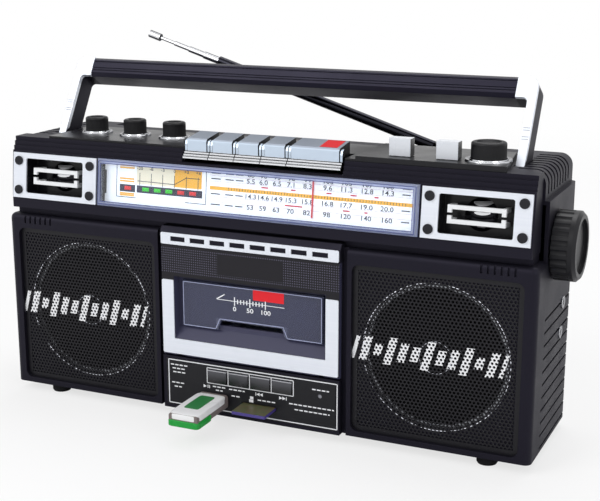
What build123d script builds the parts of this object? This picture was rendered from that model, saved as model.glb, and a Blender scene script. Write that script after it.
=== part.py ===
"""A portable radio cassette player: two speakers, cassette deck, tuning dial, handle and aerial."""
import os
from math import cos, radians, sin, tan

from build123d import *

os.makedirs("parts", exist_ok=True)

# Driving dimensions, in millimetres and degrees. Distances across are from the cabinet's middle,
# distances back are from the front face, and heights are from the floor.

# Cabinet
case_half_width = 190.0
case_depth = 94.0
case_top = 186.0
foot_height = 7.0
foot_radius = 6.75
foot_across = 160.0
front_foot_back = 12.0
rear_foot_back = 80.0
foot_step = 0.6
foot_step_height = 1.0
wall = 2.5
split_back = 20.0
upright_edge_radius = 4.6
lower_box_top = 132.0
lower_edge_radius = 4.0
neck_inset = 5.0
neck_back = 6.0

# Upper band, whose face leans back
band_half_width = 185.6
band_bottom = 137.0
band_foot = 144.0
band_lean = 6.2
band_wall = 3.0
band_face_height = 33.0
band_corner_radius = 1.6
rib_count = 3
rib_setback = 1.2

# Rear cabinet
shoulder_height = 168.5
shoulder_inset = 3.0
shoulder_radius = 8.0
side_groove_count = 11
side_groove_pitch = 8.4
side_groove_low = 10.0
side_groove_depth = 1.4
side_groove_width = 1.6
corner_groove_count = 8
corner_groove_pitch = 7.6
corner_groove_first = 26.0
corner_groove_width = 3.0
corner_groove_depth = 1.0
corner_groove_reach = 22.0

# Speakers and grilles
speaker_across = 126.75
speaker_height = 67.0
speaker_hole_radius = 47.0
speaker_flange_radius = 50.0
speaker_flange = 1.6
speaker_depth = 32.0
magnet_radius = 28.0
magnet_depth = 13.0
cone_radius = 44.5
cone_throat_radius = 11.0
cone_depth = 14.0
cone_wall = 0.8
cone_surround = 3.0
cone_cap_rise = 4.0
basket_neck = 4.0
basket_rim = 3.0
grille_width = 110.3
grille_height = 111.2
grille_middle_height = 66.4
grille_recess = 3.6
grille_thickness = 0.8
grille_radius = 5.0
panel_groove_count = 6
panel_groove_pitch = 4.2
panel_groove_across = 165.5
panel_groove_width = 1.3
panel_groove_depth = 1.2
panel_groove_height = 6.5

# Centre section, deck door and trims
centre_half_width = 65.0
centre_proud = 2.5
centre_top = 134.5
centre_bevel = 3.7
side_gap = 3.5
side_gap_depth = 3.0
door_half_width = 64.4
door_bottom = 45.0
door_top = 122.2
door_back = 1.7
door_lug_across = 52.0
door_lug_width = 3.4
door_lug_radius = 1.8
door_pin_radius = 1.0
lug_notch_over = 2.5
bay_half_width = 59.0
bay_bottom = 49.5
bay_top = 121.0
window_half_width = 55.4
window_bottom = 57.4
window_top = 101.0
window_back = 4.6
window_floor = 2.0
lens_half_width = 51.6
lens_bottom = 65.5
lens_top = 98.0
lens_thickness = 2.9
lens_bevel = 1.2
lens_notch_half_width = 24.0
lens_notch_height = 7.4
lens_notch_slope = 3.0
trim_half_width = 64.2
trim_top = 98.3
trim_bottom = 46.8
trim_thickness = 0.8
trim_corner_radius = 1.0
strip_half_width = 64.2
strip_bottom = 122.9
strip_top = 130.7
strip_thickness = 0.8
strip_corner_radius = 1.0
strip_slot_count = 8
strip_slot_pitch = 14.7
strip_slot_width = 10.9
strip_slot_height = 3.3

# Cassette deck
cassette_half_width = 50.2
cassette_thickness = 12.4
guide_wall = 2.0
guide_top = 105.0
guide_overlap = 4.0
shelf_reach = 32.0
shelf_thickness = 2.0
shelf_height = 50.0
deck_plate_back = 26.0
deck_plate_thickness = 1.5
deck_plate_half_width = 66.0
deck_plate_bottom = 40.0
deck_plate_top = 127.0
reel_across = 21.25
reel_height = 86.5
reel_shaft_radius = 1.5
reel_hub_radius = 3.0
reel_disc_radius = 9.0
reel_tip_back = 14.0
reel_disc = 3.0
reel_tail = 4.0
spline_width = 1.0
spline_length = 2.2
spline_short = 2.0
capstan_across = 28.0
capstan_height = 60.0
capstan_radius = 1.25
capstan_reach = 10.0
flywheel_radius = 22.0
flywheel_thickness = 5.0
motor_across = 38.0
motor_height = 56.0
motor_radius = 14.0
motor_length = 17.0
motor_pulley_radius = 3.0
motor_pulley_length = 4.0
head_half_width = 6.5
head_backs = (10.0, 18.0)
head_bracket_half_width = 12.0
head_bracket_up = 2.0
head_bracket_thickness = 2.0
head_corner_radius = 1.0

# Lower control panel, buttons, stick and card
panel_half_width = 62.5
panel_bottom = 9.6
panel_top = 42.8
panel_thickness = 1.0
panel_recess = 0.8
pad_wall = 3.0
button_count = 4
button_first = -23.4
button_pitch = 16.0
button_width = 14.0
button_height = 9.0
button_middle_height = 34.5
button_proud = 1.2
button_travel = 1.0
button_radius = 0.8
button_flange = 1.0
button_lip = 0.8
stick_across = -26.0
stick_width = 21.0
stick_thickness = 9.0
stick_middle_height = 17.9
stick_reach = 46.0
stick_corner_radius = 1.8
stick_clear = 0.5
plug_width = 12.0
plug_thickness = 4.5
plug_length = 11.5
card_across = 7.5
card_width = 24.0
card_thickness = 2.1
card_middle_height = 17.8
card_length = 32.0
card_reach = 19.2
card_corner = 4.0
mic_across = 51.4
mic_height = 31.9
mic_radius = 1.4
mic_depth = 0.5

# Tweeters on the band, across and up the leaning face
tweeter_across = 150.25
plate_width = 68.1
plate_height = 31.5
plate_thickness = 1.2
horn_width = 46.6
horn_height = 24.1
horn_depth = 12.0
horn_wall = 1.7
plate_screw_across = 29.1
plate_screw_up = 10.15
plate_screw_radius = 3.1
guard_half_width = 18.1
guard_bar = 2.7
guard_end = 2.1
guard_gap = 1.8
guard_thickness = 2.0
guard_setback = 0.4
dome_ball_radius = 14.5
dome_rise = 4.0
tweeter_magnet_radius = 9.0
tweeter_magnet_depth = 6.0
horn_corner_radius = 1.5

# Dial
dial_lens_half_width = 114.5
dial_lens_height = 32.0
dial_lens_proud = 3.2
dial_lens_seat = 1.5
dial_lens_wall = 3.0
dial_lens_front = 2.0
dial_lens_bevel = 1.6
scale_half_width = 113.0
scale_depth = 6.0
scale_thickness = 1.2
scale_post_width = 1.5
scale_up = 1.5
scale_down = 1.0
scale_post_ups = (8.0, 24.0)
pointer_across = 42.0
pointer_width = 0.9
pointer_thickness = 0.8
pointer_foot = 4.5
pointer_clip_width = 8.0
pointer_clip_wall = 0.8

# Control top
top_plate = 1.5
raised_plate = 3.5
deck_left = -158.0
raised_left = 70.0
raised_right = 166.0
raised_right_rear = 158.0
deck_front = 8.0
deck_back = 62.0
opening_margin = 5.0
small_knob_first = -137.0
small_knob_pitch = 31.2
small_knob_back = 36.5
small_knob_radius = 7.9
small_knob_height = 10.8
small_ring_radius = 11.0
large_knob_across = 150.0
large_knob_back = 25.5
large_knob_radius = 10.9
large_knob_height = 11.4
large_ring_radius = 14.5
ring_height = 1.6
knob_shaft_radius = 3.0
knob_shaft_reach = 6.0
knob_lip_radius = 1.4
knob_dish_rim = 2.6
knob_dish_depth = 0.9
pot_radius = 6.5
control_board_height = 168.4
board_thickness = 1.6
control_board_across = (-148.0, 154.0)
control_board_backs = (24.0, 54.0)
switch_body_width = 10.0
switch_body_backs = (26.0, 44.0)
main_board_back = 51.6
main_board_across = (-38.0, 150.0)
main_board_heights = (14.0, 112.0)
media_board_back = 15.6
media_board_across = (-46.0, 46.0)
media_board_heights = (11.0, 41.0)
board_post_radius = 3.0
deck_post_radius = 2.5
deck_post_out = 3.0
deck_post_heights = (47.0, 124.0)
capacitor_radius = 5.0
capacitor_height = 14.0
capacitor_places = (
    (0.0, 90.0),
    (16.0, 90.0),
    (32.0, 90.0),
    (112.0, 60.0),
    (112.0, 78.0),
    (0.0, 30.0),
    (16.0, 30.0),
)
heat_sink_first = 50.0
heat_sink_pitch = 5.0
heat_sink_fins = 6
heat_sink_fin = 1.5
heat_sink_heights = (60.0, 100.0)
heat_sink_depth = 16.0
heat_sink_plate = 2.0
tuning_box_across = 148.0
tuning_box_side = 24.0
tuning_box_length = 22.0
button_switch_side = 6.0
socket_wall = 1.5
socket_mouth_gap = 1.0
card_mouth_gap = 0.6
switch_across = (96.0, 126.4)
switch_cap_width = 14.3
switch_cap_depth = 8.0
switch_cap_height = 11.0
switch_front = 16.5
switch_travel = 14.0
switch_stem = 3.0
switch_stem_depth = 6.0
switch_cap_radius = 0.8
switch_foot_depth = 3.0
switch_catch_wall = 2.0
switch_catch_thickness = 2.4

# Piano keys
key_left = -50.0
key_pitch = 18.7
key_split = 0.6
key_cheek = 1.5
key_slit = 0.5
key_ledge_bottom = 180.4
key_ledge_top = 184.8
key_ledge_front = 3.4
key_front = 7.0
key_top = 193.3
key_back = 24.5
key_top_rise = 2.4
key_proud = 0.6
key_bevel = 1.6
key_body_bottom = 182.4
key_lever_width = 10.0
key_lever_thickness = 3.4
key_eye_radius = 3.2
key_ear_width = 2.0
key_ear_half_depth = 4.0
key_pivot_back = 50.0
key_pivot_height = 181.0
key_rod_radius = 1.5
key_rod_end = 0.5
key_well_floor = 177.3
key_well_margin = 1.0

# Tuning knob on the right side
tuning_back = 42.5
tuning_height = 137.5
tuning_radius = 22.0
tuning_length = 15.0
tuning_stand_off = 1.0
tuning_scallops = 24
tuning_scallop_radius = 2.4
tuning_scallop_out = 1.4
tuning_bevel = 2.0
tuning_lip = 4.0
tuning_dish_rim = 5.0
tuning_dish_depth = 2.5
tuning_shaft_reach = 32.0

# Side jacks
jack_places = ((70.0, 93.0), (66.0, 74.0))
jack_radius = 1.8
jack_barrel_radius = 3.0
jack_ring_radius = 4.2
jack_length = 14.0
jack_ring = 0.8

# Handle, drawn along its own lean from its pivot
handle_lean = 30.0
handle_pivot_back = 43.0
handle_pivot_height = 180.0
handle_half_width = 169.5
handle_arm_width = 5.5
handle_arm_depth = 17.0
handle_trim_depth = 3.0
handle_length = 61.0
grip_half_width = 156.0
grip_height = 14.3
grip_bevel = 2.4
grip_line_ups = (4.2, 5.9, 10.6)
grip_line_width = 0.7
grip_line_depth = 0.6
handle_corner_radius = 7.0
handle_inner_radius = 3.0
handle_stud_radius = 2.5
handle_stud = 1.6
well_gap = 0.6
well_front = 31.5
well_back = 58.5
well_floor = 170.5
well_wall = 2.2

# Aerial
aerial_across = 102.0
aerial_back = 88.0
aerial_height = 183.0
aerial_rise = 17.4
aerial_tube_length = 176.0
aerial_radii = (3.5, 2.6, 2.1, 1.65, 1.2)
aerial_shown = 12.5
aerial_overlap = 140.0
aerial_tip_radius = 2.7
aerial_tip_length = 9.0
aerial_post_radius = 4.0
aerial_pin_radius = 1.2
aerial_pin_half_length = 4.0
aerial_block_width = 14.0
aerial_block_depth = 13.0
aerial_post_hole = 12.0
aerial_post_length = 10.0
aerial_flange_radius = 5.6
aerial_flange = 1.0
aerial_cheek_width = 6.4
aerial_cheek_backs = (2.0, 3.9)
aerial_cheek_rise = 2.4
aerial_eye_radius = 3.3
aerial_tongue = 3.4
aerial_tongue_width = 5.6
aerial_tongue_length = 9.0
aerial_tube_start = 7.5
aerial_bore_extra = 12.0
aerial_overlap_step = 4.0
groove_left = -150.0
groove_right = 126.0
groove_front = 81.0
groove_floor = 178.0

# Batteries, inlet and transformer
battery_left = -170.0
battery_right = -42.0
battery_floor = 11.6
battery_top = 86.0
battery_front = 56.0
battery_recess = 2.3
battery_stud_radius = 0.7
battery_stud_reach = 3.2
battery_rabbet = 2.0
battery_rib_count = 5
battery_rib_across = (-130.0, -82.0)
battery_rib_first = 6.0
battery_rib_pitch = 2.4
battery_rib_width = 1.2
battery_rib_depth = 0.6
inlet_across = 122.0
inlet_height = 30.0
inlet_width = 22.0
inlet_opening_height = 13.0
inlet_depth = 16.0
inlet_wall = 2.0
inlet_floor = 3.0
inlet_pin_across = 4.3
inlet_pin_radius = 1.2
inlet_corner_radius = 1.5
transformer_core_across = (62.0, 108.0)
transformer_core_backs = (56.0, 88.0)
transformer_core_height = 34.0
transformer_coil_across = (68.0, 102.0)
transformer_coil_backs = (51.8, 90.0)
transformer_coil_height = 18.0
transformer_coil_up = 8.0
screw_head_radius = 3.0
screw_shank_radius = 1.4
screw_head = 1.0
screw_sink = 1.2
case_screw_length = 10.0
plate_screw_length = 6.0
vent_count = 7
vent_pitch = 5.0
vent_half_width = 45.0
vent_height = 128.0
vent_width = 2.0

# Clearances
moving_gap = 0.3
running_gap = 0.05
seat_gap = 0.05

# The frame's origin is under the middle of the whole object, on the floor.
tuning_face = case_half_width + tuning_stand_off + tuning_length
mid_x = (case_half_width - tuning_face) / 2
mid_y = (stick_reach - case_depth) / 2
lean_sin = sin(radians(band_lean))
lean_cos = cos(radians(band_lean))


def facing(back):
    """A plane that looks out of the front, with height as its second direction."""
    return Plane(origin=(mid_x, mid_y + back, 0), x_dir=(1, 0, 0), z_dir=(0, -1, 0))


def level(height):
    """A level plane: across, then back."""
    return Plane(origin=(mid_x, mid_y, height))


def aside(across):
    """A plane that looks out of the right side: back, then up."""
    return Plane(origin=(mid_x + across, mid_y, 0), x_dir=(0, 1, 0), z_dir=(1, 0, 0))


def on_band(proud):
    """A plane parallel to the band's leaning face: across, then up the face."""
    plane = Plane(
        origin=(mid_x, mid_y, band_foot), x_dir=(1, 0, 0), z_dir=(0, -lean_cos, lean_sin)
    )
    return plane.offset(proud)


def slab(plane, across, up, depth, radius=0.0, mode=Mode.ADD):
    """Extrude a rectangle that is given by its two ranges in a plane."""
    with BuildSketch(plane) as outline:
        with Locations(((across[0] + across[1]) / 2, (up[0] + up[1]) / 2)):
            if radius > 0:
                RectangleRounded(across[1] - across[0], up[1] - up[0], radius)
            else:
                Rectangle(across[1] - across[0], up[1] - up[0])
    extrude(outline.sketch, amount=depth, mode=mode)


def disc(plane, centre, radius, depth, mode=Mode.ADD):
    """Extrude a circle from a plane."""
    with BuildSketch(plane) as outline:
        with Locations(centre):
            Circle(radius)
    extrude(outline.sketch, amount=depth, mode=mode)


def bar(plane, points, depth, mode=Mode.ADD):
    """Extrude a straight-sided outline from a plane."""
    with BuildSketch(plane) as outline:
        with BuildLine():
            Polyline(*points, close=True)
        make_face()
    extrude(outline.sketch, amount=depth, mode=mode)


def around(middle, width):
    """The range of a width about its middle."""
    return (middle - width / 2, middle + width / 2)


def face_back(height, proud=0.0):
    """How far back the leaning face, or a surface that stands proud of it, is at a height."""
    return (height - band_foot) * tan(radians(band_lean)) - proud / lean_cos


# Values that several pieces share
neck_half_width = case_half_width - neck_inset
shoulder_half_width = case_half_width - shoulder_inset
door_thickness = door_back + centre_proud
door_hinge_back = door_back - door_thickness / 2
door_hinge_height = door_bottom + door_thickness / 2
bay_wall_front = door_back + moving_gap
bay_wall_back = 6.1
well_across = (
    handle_half_width - handle_arm_width - well_gap,
    handle_half_width + well_gap,
)
top_opening = (deck_left + opening_margin, large_knob_across + pot_radius + moving_gap)
key_right = key_left + 6 * key_pitch
key_well = (key_left - key_well_margin, key_right + key_well_margin)
band_rib_bottom = band_foot + band_face_height * lean_cos
rib_rise = (case_top - band_rib_bottom) / rib_count
screw_ups = (
    plate_height / 2 - plate_screw_up,
    plate_height / 2 + plate_screw_up,
)
battery_door_thickness = battery_recess - moving_gap
battery_hinge_back = case_depth - battery_door_thickness / 2
battery_hinge_height = battery_floor + moving_gap + battery_door_thickness / 2
button_places = [button_first + button_pitch * turn for turn in range(button_count)]
small_knobs = [(small_knob_first + small_knob_pitch * turn, small_knob_back) for turn in range(3)]
large_knob = (large_knob_across, large_knob_back)
knob_floor = {place: case_top + top_plate for place in small_knobs}
knob_floor[large_knob] = case_top + raised_plate
post_places = [
    (side * (bay_half_width + deck_post_out), height)
    for side in (-1, 1)
    for height in deck_post_heights
]
board_posts = ((-32.0, 22.0), (-32.0, 104.0), (144.0, 22.0), (144.0, 104.0))
case_screw_places = (
    (-178.0, 100.0),
    (-178.0, 160.0),
    (178.0, 160.0),
    (178.0, 18.0),
    (0.0, 160.0),
    (0.0, 18.0),
)
band_steps = [
    (face_back(band_rib_bottom) + rib_setback * (step + 1), band_rib_bottom + rib_rise * (step + lift))
    for step in range(rib_count)
    for lift in (0, 1)
]

# Front cabinet: one moulding with the leaning band, the speaker panels and the centre pad
with BuildPart() as front_cabinet:
    bar(
        aside(-band_half_width),
        [(split_back, band_bottom), (face_back(band_bottom), band_bottom)]
        + [(face_back(band_rib_bottom), band_rib_bottom)]
        + band_steps
        + [(split_back, case_top)],
        2 * band_half_width,
    )
    slab(
        level(band_bottom - 1),
        (-band_half_width, band_half_width),
        (face_back(band_bottom), split_back + 2 * band_corner_radius),
        case_top - band_bottom + 2,
        band_corner_radius,
        Mode.INTERSECT,
    )
    with BuildSketch(level(foot_height)) as lower_outline:
        with Locations((0, split_back / 2)):
            Rectangle(2 * case_half_width, split_back)
        fillet(lower_outline.vertices().group_by(Axis.Y)[0], radius=upright_edge_radius)
    extrude(amount=lower_box_top - foot_height)
    lower_rim = front_cabinet.edges().filter_by_position(
        Axis.Z, lower_box_top - 0.01, lower_box_top + 0.01
    )
    fillet(
        lower_rim.filter_by(lambda edge: edge.center().Y < mid_y + split_back - 1),
        radius=lower_edge_radius,
    )
    slab(
        facing(split_back),
        (-neck_half_width, neck_half_width),
        (lower_box_top - wall, band_bottom + wall),
        split_back - neck_back,
    )
    bar(
        aside(-centre_half_width),
        [
            (neck_back, foot_height),
            (-centre_proud, foot_height),
            (-centre_proud, centre_top - centre_bevel),
            (0, centre_top),
            (neck_back, centre_top),
        ],
        2 * centre_half_width,
    )
    # Inside
    slab(
        facing(split_back),
        (-case_half_width + wall, case_half_width - wall),
        (foot_height + wall, lower_box_top - wall),
        split_back - bay_wall_back,
        mode=Mode.SUBTRACT,
    )
    slab(
        facing(split_back),
        (-neck_half_width + wall, neck_half_width - wall),
        (lower_box_top - 2 * wall, band_bottom + 2 * wall),
        split_back - neck_back - wall,
        mode=Mode.SUBTRACT,
    )
    bar(
        aside(-band_half_width + wall),
        [
            (split_back, band_bottom + wall),
            (face_back(band_bottom + wall, -band_wall), band_bottom + wall),
            (face_back(band_rib_bottom - 2, -band_wall), band_rib_bottom - 2),
            (face_back(band_rib_bottom) + (rib_count + 2) * rib_setback, band_rib_bottom + 1),
            (face_back(band_rib_bottom) + (rib_count + 2) * rib_setback, case_top - wall),
            (split_back, case_top - wall),
        ],
        2 * (band_half_width - wall),
        Mode.SUBTRACT,
    )
    slab(
        facing(split_back),
        (-panel_half_width, panel_half_width),
        (foot_height + wall, panel_top),
        split_back - (-centre_proud + pad_wall),
        mode=Mode.SUBTRACT,
    )
    # Speaker panels
    for side in (-1, 1):
        slab(
            facing(grille_recess),
            around(side * speaker_across, grille_width),
            around(grille_middle_height, grille_height),
            grille_recess + 1,
            grille_radius,
            Mode.SUBTRACT,
        )
        disc(
            facing(split_back),
            (side * speaker_across, speaker_height),
            speaker_hole_radius,
            split_back,
            Mode.SUBTRACT,
        )
        slab(
            facing(side_gap_depth),
            around(side * (centre_half_width + side_gap / 2), side_gap),
            (foot_height - 1, lower_box_top + 1),
            side_gap_depth + 1,
            mode=Mode.SUBTRACT,
        )
        for turn in range(panel_groove_count):
            groove_across = side * panel_groove_across + panel_groove_pitch * (
                turn - (panel_groove_count - 1) / 2
            )
            slab(
                facing(panel_groove_depth),
                around(groove_across, panel_groove_width),
                (lower_box_top - panel_groove_height, lower_box_top + 1),
                panel_groove_depth + 1,
                mode=Mode.SUBTRACT,
            )
        # Tweeter opening and the holes of the plate's screws
        slab(
            on_band(1),
            around(side * tweeter_across, horn_width + 2 * horn_wall + 2 * seat_gap),
            around(plate_height / 2, horn_height + 2 * horn_wall + 2 * seat_gap),
            -band_wall - 3,
            mode=Mode.SUBTRACT,
        )
        for step in (-1, 1):
            for up in screw_ups:
                disc(
                    on_band(1),
                    (side * tweeter_across + step * plate_screw_across, up),
                    screw_shank_radius + seat_gap,
                    -band_wall - 3,
                    Mode.SUBTRACT,
                )
    # Dial opening with the seat of its window
    slab(
        on_band(-dial_lens_seat),
        (-dial_lens_half_width - seat_gap, dial_lens_half_width + seat_gap),
        (-seat_gap, dial_lens_height + seat_gap),
        dial_lens_seat + 2,
        mode=Mode.SUBTRACT,
    )
    slab(
        on_band(1),
        (-dial_lens_half_width + dial_lens_wall, dial_lens_half_width - dial_lens_wall),
        (dial_lens_wall - 1, dial_lens_height - dial_lens_wall + 1),
        -band_wall - 3,
        mode=Mode.SUBTRACT,
    )
    # Notch that the piano keys come through
    slab(
        level(key_well_floor),
        key_well,
        (-centre_proud, split_back + 1),
        case_top - key_well_floor + 1,
        mode=Mode.SUBTRACT,
    )
    # Opening under the control top
    slab(
        level(case_top + 1),
        top_opening,
        (deck_front + opening_margin, split_back + 1),
        -wall - 2,
        mode=Mode.SUBTRACT,
    )
    # Recess and opening of the cassette door
    slab(
        facing(bay_wall_front),
        (-centre_half_width - 1, centre_half_width + 1),
        (door_bottom - 2 * moving_gap, door_top + moving_gap),
        bay_wall_front + centre_proud + 1,
        mode=Mode.SUBTRACT,
    )
    slab(
        facing(bay_wall_back + 1),
        (-bay_half_width, bay_half_width),
        (bay_bottom, bay_top),
        bay_wall_back + 1,
        mode=Mode.SUBTRACT,
    )
    for side in (-1, 1):
        slab(
            facing(bay_wall_front + 1),
            around(side * door_lug_across, door_lug_width),
            around(door_hinge_height, 2 * door_lug_radius),
            bay_wall_front + 1 - door_hinge_back,
        )
        disc(
            aside(side * door_lug_across - door_lug_width / 2),
            (door_hinge_back, door_hinge_height),
            door_lug_radius,
            door_lug_width,
        )
    disc(
        aside(-door_lug_across - door_lug_width),
        (door_hinge_back, door_hinge_height),
        door_pin_radius + running_gap,
        2 * (door_lug_across + door_lug_width),
        Mode.SUBTRACT,
    )
    # Seat of the control panel and the holes through it
    slab(
        facing(-centre_proud + panel_recess),
        (-panel_half_width - seat_gap, panel_half_width + seat_gap),
        (panel_bottom - seat_gap, panel_top + seat_gap),
        panel_recess + 1,
        mode=Mode.SUBTRACT,
    )
    for across in button_places:
        slab(
            facing(bay_wall_back),
            around(across, button_width + 2 * moving_gap),
            around(button_middle_height, button_height + 2 * moving_gap),
            bay_wall_back + centre_proud + 1,
            mode=Mode.SUBTRACT,
        )
    slab(
        facing(bay_wall_back),
        around(stick_across, plug_width + 2 * socket_mouth_gap),
        around(stick_middle_height, plug_thickness + 2 * socket_mouth_gap),
        bay_wall_back + centre_proud + 1,
        mode=Mode.SUBTRACT,
    )
    slab(
        facing(bay_wall_back),
        around(card_across, card_width + 2 * card_mouth_gap),
        around(card_middle_height, card_thickness + 2 * card_mouth_gap),
        bay_wall_back + centre_proud + 1,
        mode=Mode.SUBTRACT,
    )
    # Posts that carry the deck plate
    for place in post_places:
        disc(facing(deck_plate_back), place, deck_post_radius, deck_plate_back - bay_wall_front)
front_cabinet.part.label = "front_cabinet"
export_step(front_cabinet.part, "parts/front_cabinet.step")

# Rear cabinet: one moulding with grooved sides, ribbed shoulders, handle wells and battery box
with BuildPart() as rear_cabinet:
    slab(
        facing(case_depth),
        (-case_half_width, case_half_width),
        (foot_height, shoulder_height),
        case_depth - split_back,
    )
    with BuildSketch(facing(case_depth)) as shoulder:
        with Locations((0, (shoulder_height + case_top) / 2)):
            Rectangle(2 * shoulder_half_width, case_top - shoulder_height)
        fillet(shoulder.vertices().group_by(Axis.Y)[-1], radius=shoulder_radius)
    extrude(amount=case_depth - split_back)
    slab(
        level(foot_height - 1),
        (-case_half_width, case_half_width),
        (-case_depth, case_depth),
        case_top - foot_height + 2,
        upright_edge_radius,
        Mode.INTERSECT,
    )
    slab(
        facing(case_depth - wall),
        (-case_half_width + wall, case_half_width - wall),
        (foot_height + wall, shoulder_height - wall),
        case_depth - wall - split_back,
        mode=Mode.SUBTRACT,
    )
    slab(
        facing(case_depth - wall),
        (-shoulder_half_width + wall, shoulder_half_width - wall),
        (shoulder_height - 2 * wall, case_top - wall),
        case_depth - wall - split_back,
        mode=Mode.SUBTRACT,
    )
    # Blocks inside for the aerial's groove, the aerial's swivel and the handle's wells
    slab(
        level(groove_floor - wall),
        (groove_left - wall, groove_right + wall),
        (groove_front - wall, case_depth - wall / 2),
        case_top - groove_floor + wall / 2,
    )
    slab(
        level(groove_floor - aerial_block_depth),
        around(aerial_across, aerial_block_width),
        (groove_front - wall, case_depth - wall / 2),
        aerial_block_depth,
    )
    for side in (-1, 1):
        slab(
            level(well_floor - well_wall),
            sorted((side * (well_across[0] - well_wall), side * (well_across[1] + well_wall))),
            (well_front - well_wall, well_back + well_wall),
            case_top - wall / 2 - well_floor + well_wall,
        )
        slab(
            level(well_floor),
            sorted((side * well_across[0], side * well_across[1])),
            (well_front, well_back),
            case_top - well_floor + 1,
            mode=Mode.SUBTRACT,
        )
        disc(
            aside(side * (well_across[0] - well_wall - 1)),
            (handle_pivot_back, handle_pivot_height),
            handle_stud_radius + running_gap,
            side * (well_across[1] - well_across[0] + 2 * well_wall + 2),
            Mode.SUBTRACT,
        )
        # Grooves along the side
        for turn in range(side_groove_count):
            slab(
                facing(case_depth + 1),
                sorted((side * (case_half_width - side_groove_depth), side * (case_half_width + 1))),
                around(side_groove_low + side_groove_pitch * turn, side_groove_width),
                case_depth - split_back - 1,
                mode=Mode.SUBTRACT,
            )
        # Grooves around the shoulder
        for turn in range(corner_groove_count):
            with BuildSketch(facing(corner_groove_first + corner_groove_pitch * turn)) as ring:
                with Locations((side * (case_half_width - corner_groove_reach / 2), case_top)):
                    Rectangle(corner_groove_reach, 2 * (case_top - shoulder_height - 3))
                inner_reach = 2 * (shoulder_half_width - corner_groove_depth)
                with Locations((0, case_top - corner_groove_depth - shoulder_height / 2)):
                    RectangleRounded(
                        inner_reach,
                        shoulder_height,
                        shoulder_radius - corner_groove_depth,
                        mode=Mode.SUBTRACT,
                    )
            extrude(ring.sketch, amount=-corner_groove_width, mode=Mode.SUBTRACT)
    slab(
        level(groove_floor),
        (groove_left, groove_right),
        (groove_front, case_depth + 1),
        case_top - groove_floor + 1,
        mode=Mode.SUBTRACT,
    )
    disc(
        level(groove_floor - aerial_post_hole),
        (aerial_across, aerial_back),
        aerial_post_radius + running_gap,
        aerial_post_hole + 2,
        Mode.SUBTRACT,
    )
    # Opening under the control top
    slab(
        level(case_top + 1),
        top_opening,
        (split_back - 1, deck_back - opening_margin),
        -wall - 2,
        mode=Mode.SUBTRACT,
    )
    # Battery box and its opening
    slab(
        facing(case_depth - wall),
        (battery_left - wall, battery_right + wall),
        (foot_height + wall / 2, battery_top + wall),
        case_depth - wall - battery_front + wall,
    )
    slab(
        facing(case_depth + 1),
        (battery_left, battery_right),
        (battery_floor, battery_top),
        case_depth + 1 - battery_front,
        mode=Mode.SUBTRACT,
    )
    slab(
        facing(case_depth + 1),
        (battery_left - battery_rabbet, battery_right + battery_rabbet),
        (battery_floor, battery_top + battery_rabbet),
        battery_recess + 1,
        mode=Mode.SUBTRACT,
    )
    disc(
        aside(battery_left - battery_stud_reach - 4 * running_gap),
        (battery_hinge_back, battery_hinge_height),
        battery_stud_radius + running_gap,
        battery_right - battery_left + 2 * battery_stud_reach + 8 * running_gap,
        Mode.SUBTRACT,
    )
    # Side wall holes: tuning shaft and jacks
    disc(
        aside(case_half_width - wall - 1),
        (tuning_back, tuning_height),
        knob_shaft_radius + 2 * running_gap,
        wall + 2,
        Mode.SUBTRACT,
    )
    for place in jack_places:
        disc(
            aside(case_half_width - wall - 1),
            place,
            jack_barrel_radius + seat_gap,
            wall + 2,
            Mode.SUBTRACT,
        )
    # Rear wall: mains inlet, vents, screw holes and the posts of the main board
    slab(
        facing(case_depth + 1),
        around(inlet_across, inlet_width + 2 * seat_gap),
        around(inlet_height, inlet_opening_height + 2 * seat_gap),
        wall + 2,
        mode=Mode.SUBTRACT,
    )
    for turn in range(vent_count):
        slab(
            facing(case_depth + 1),
            (-vent_half_width, vent_half_width),
            around(vent_height + vent_pitch * turn, vent_width),
            wall + 2,
            mode=Mode.SUBTRACT,
        )
    for place in board_posts:
        disc(
            facing(case_depth - wall / 2),
            place,
            board_post_radius,
            case_depth - wall / 2 - main_board_back,
        )
    for place in case_screw_places:
        disc(
            facing(case_depth + 1), place, screw_shank_radius + seat_gap, wall + 2, Mode.SUBTRACT
        )
        disc(
            facing(case_depth + 1),
            place,
            screw_head_radius + moving_gap,
            screw_sink + 1,
            Mode.SUBTRACT,
        )
rear_cabinet.part.label = "rear_cabinet"
export_step(rear_cabinet.part, "parts/rear_cabinet.step")

# Rubber feet, two under each shell
with BuildPart() as feet:
    for across in (-foot_across, foot_across):
        for back in (front_foot_back, rear_foot_back):
            disc(level(0), (across, back), foot_radius - foot_step, foot_step_height)
            disc(
                level(foot_step_height),
                (across, back),
                foot_radius,
                foot_height - foot_step_height,
            )
feet.part.label = "feet"
export_step(feet.part, "parts/feet.step")

# Speaker grilles: perforated sheets in their recesses
with BuildPart() as speaker_grilles:
    for side in (-1, 1):
        slab(
            facing(grille_recess),
            around(side * speaker_across, grille_width - 2 * seat_gap),
            around(grille_middle_height, grille_height - 2 * seat_gap),
            grille_thickness,
            grille_radius - seat_gap,
        )
speaker_grilles.part.label = "speaker_grilles"
export_step(speaker_grilles.part, "parts/speaker_grilles.step")

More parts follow.
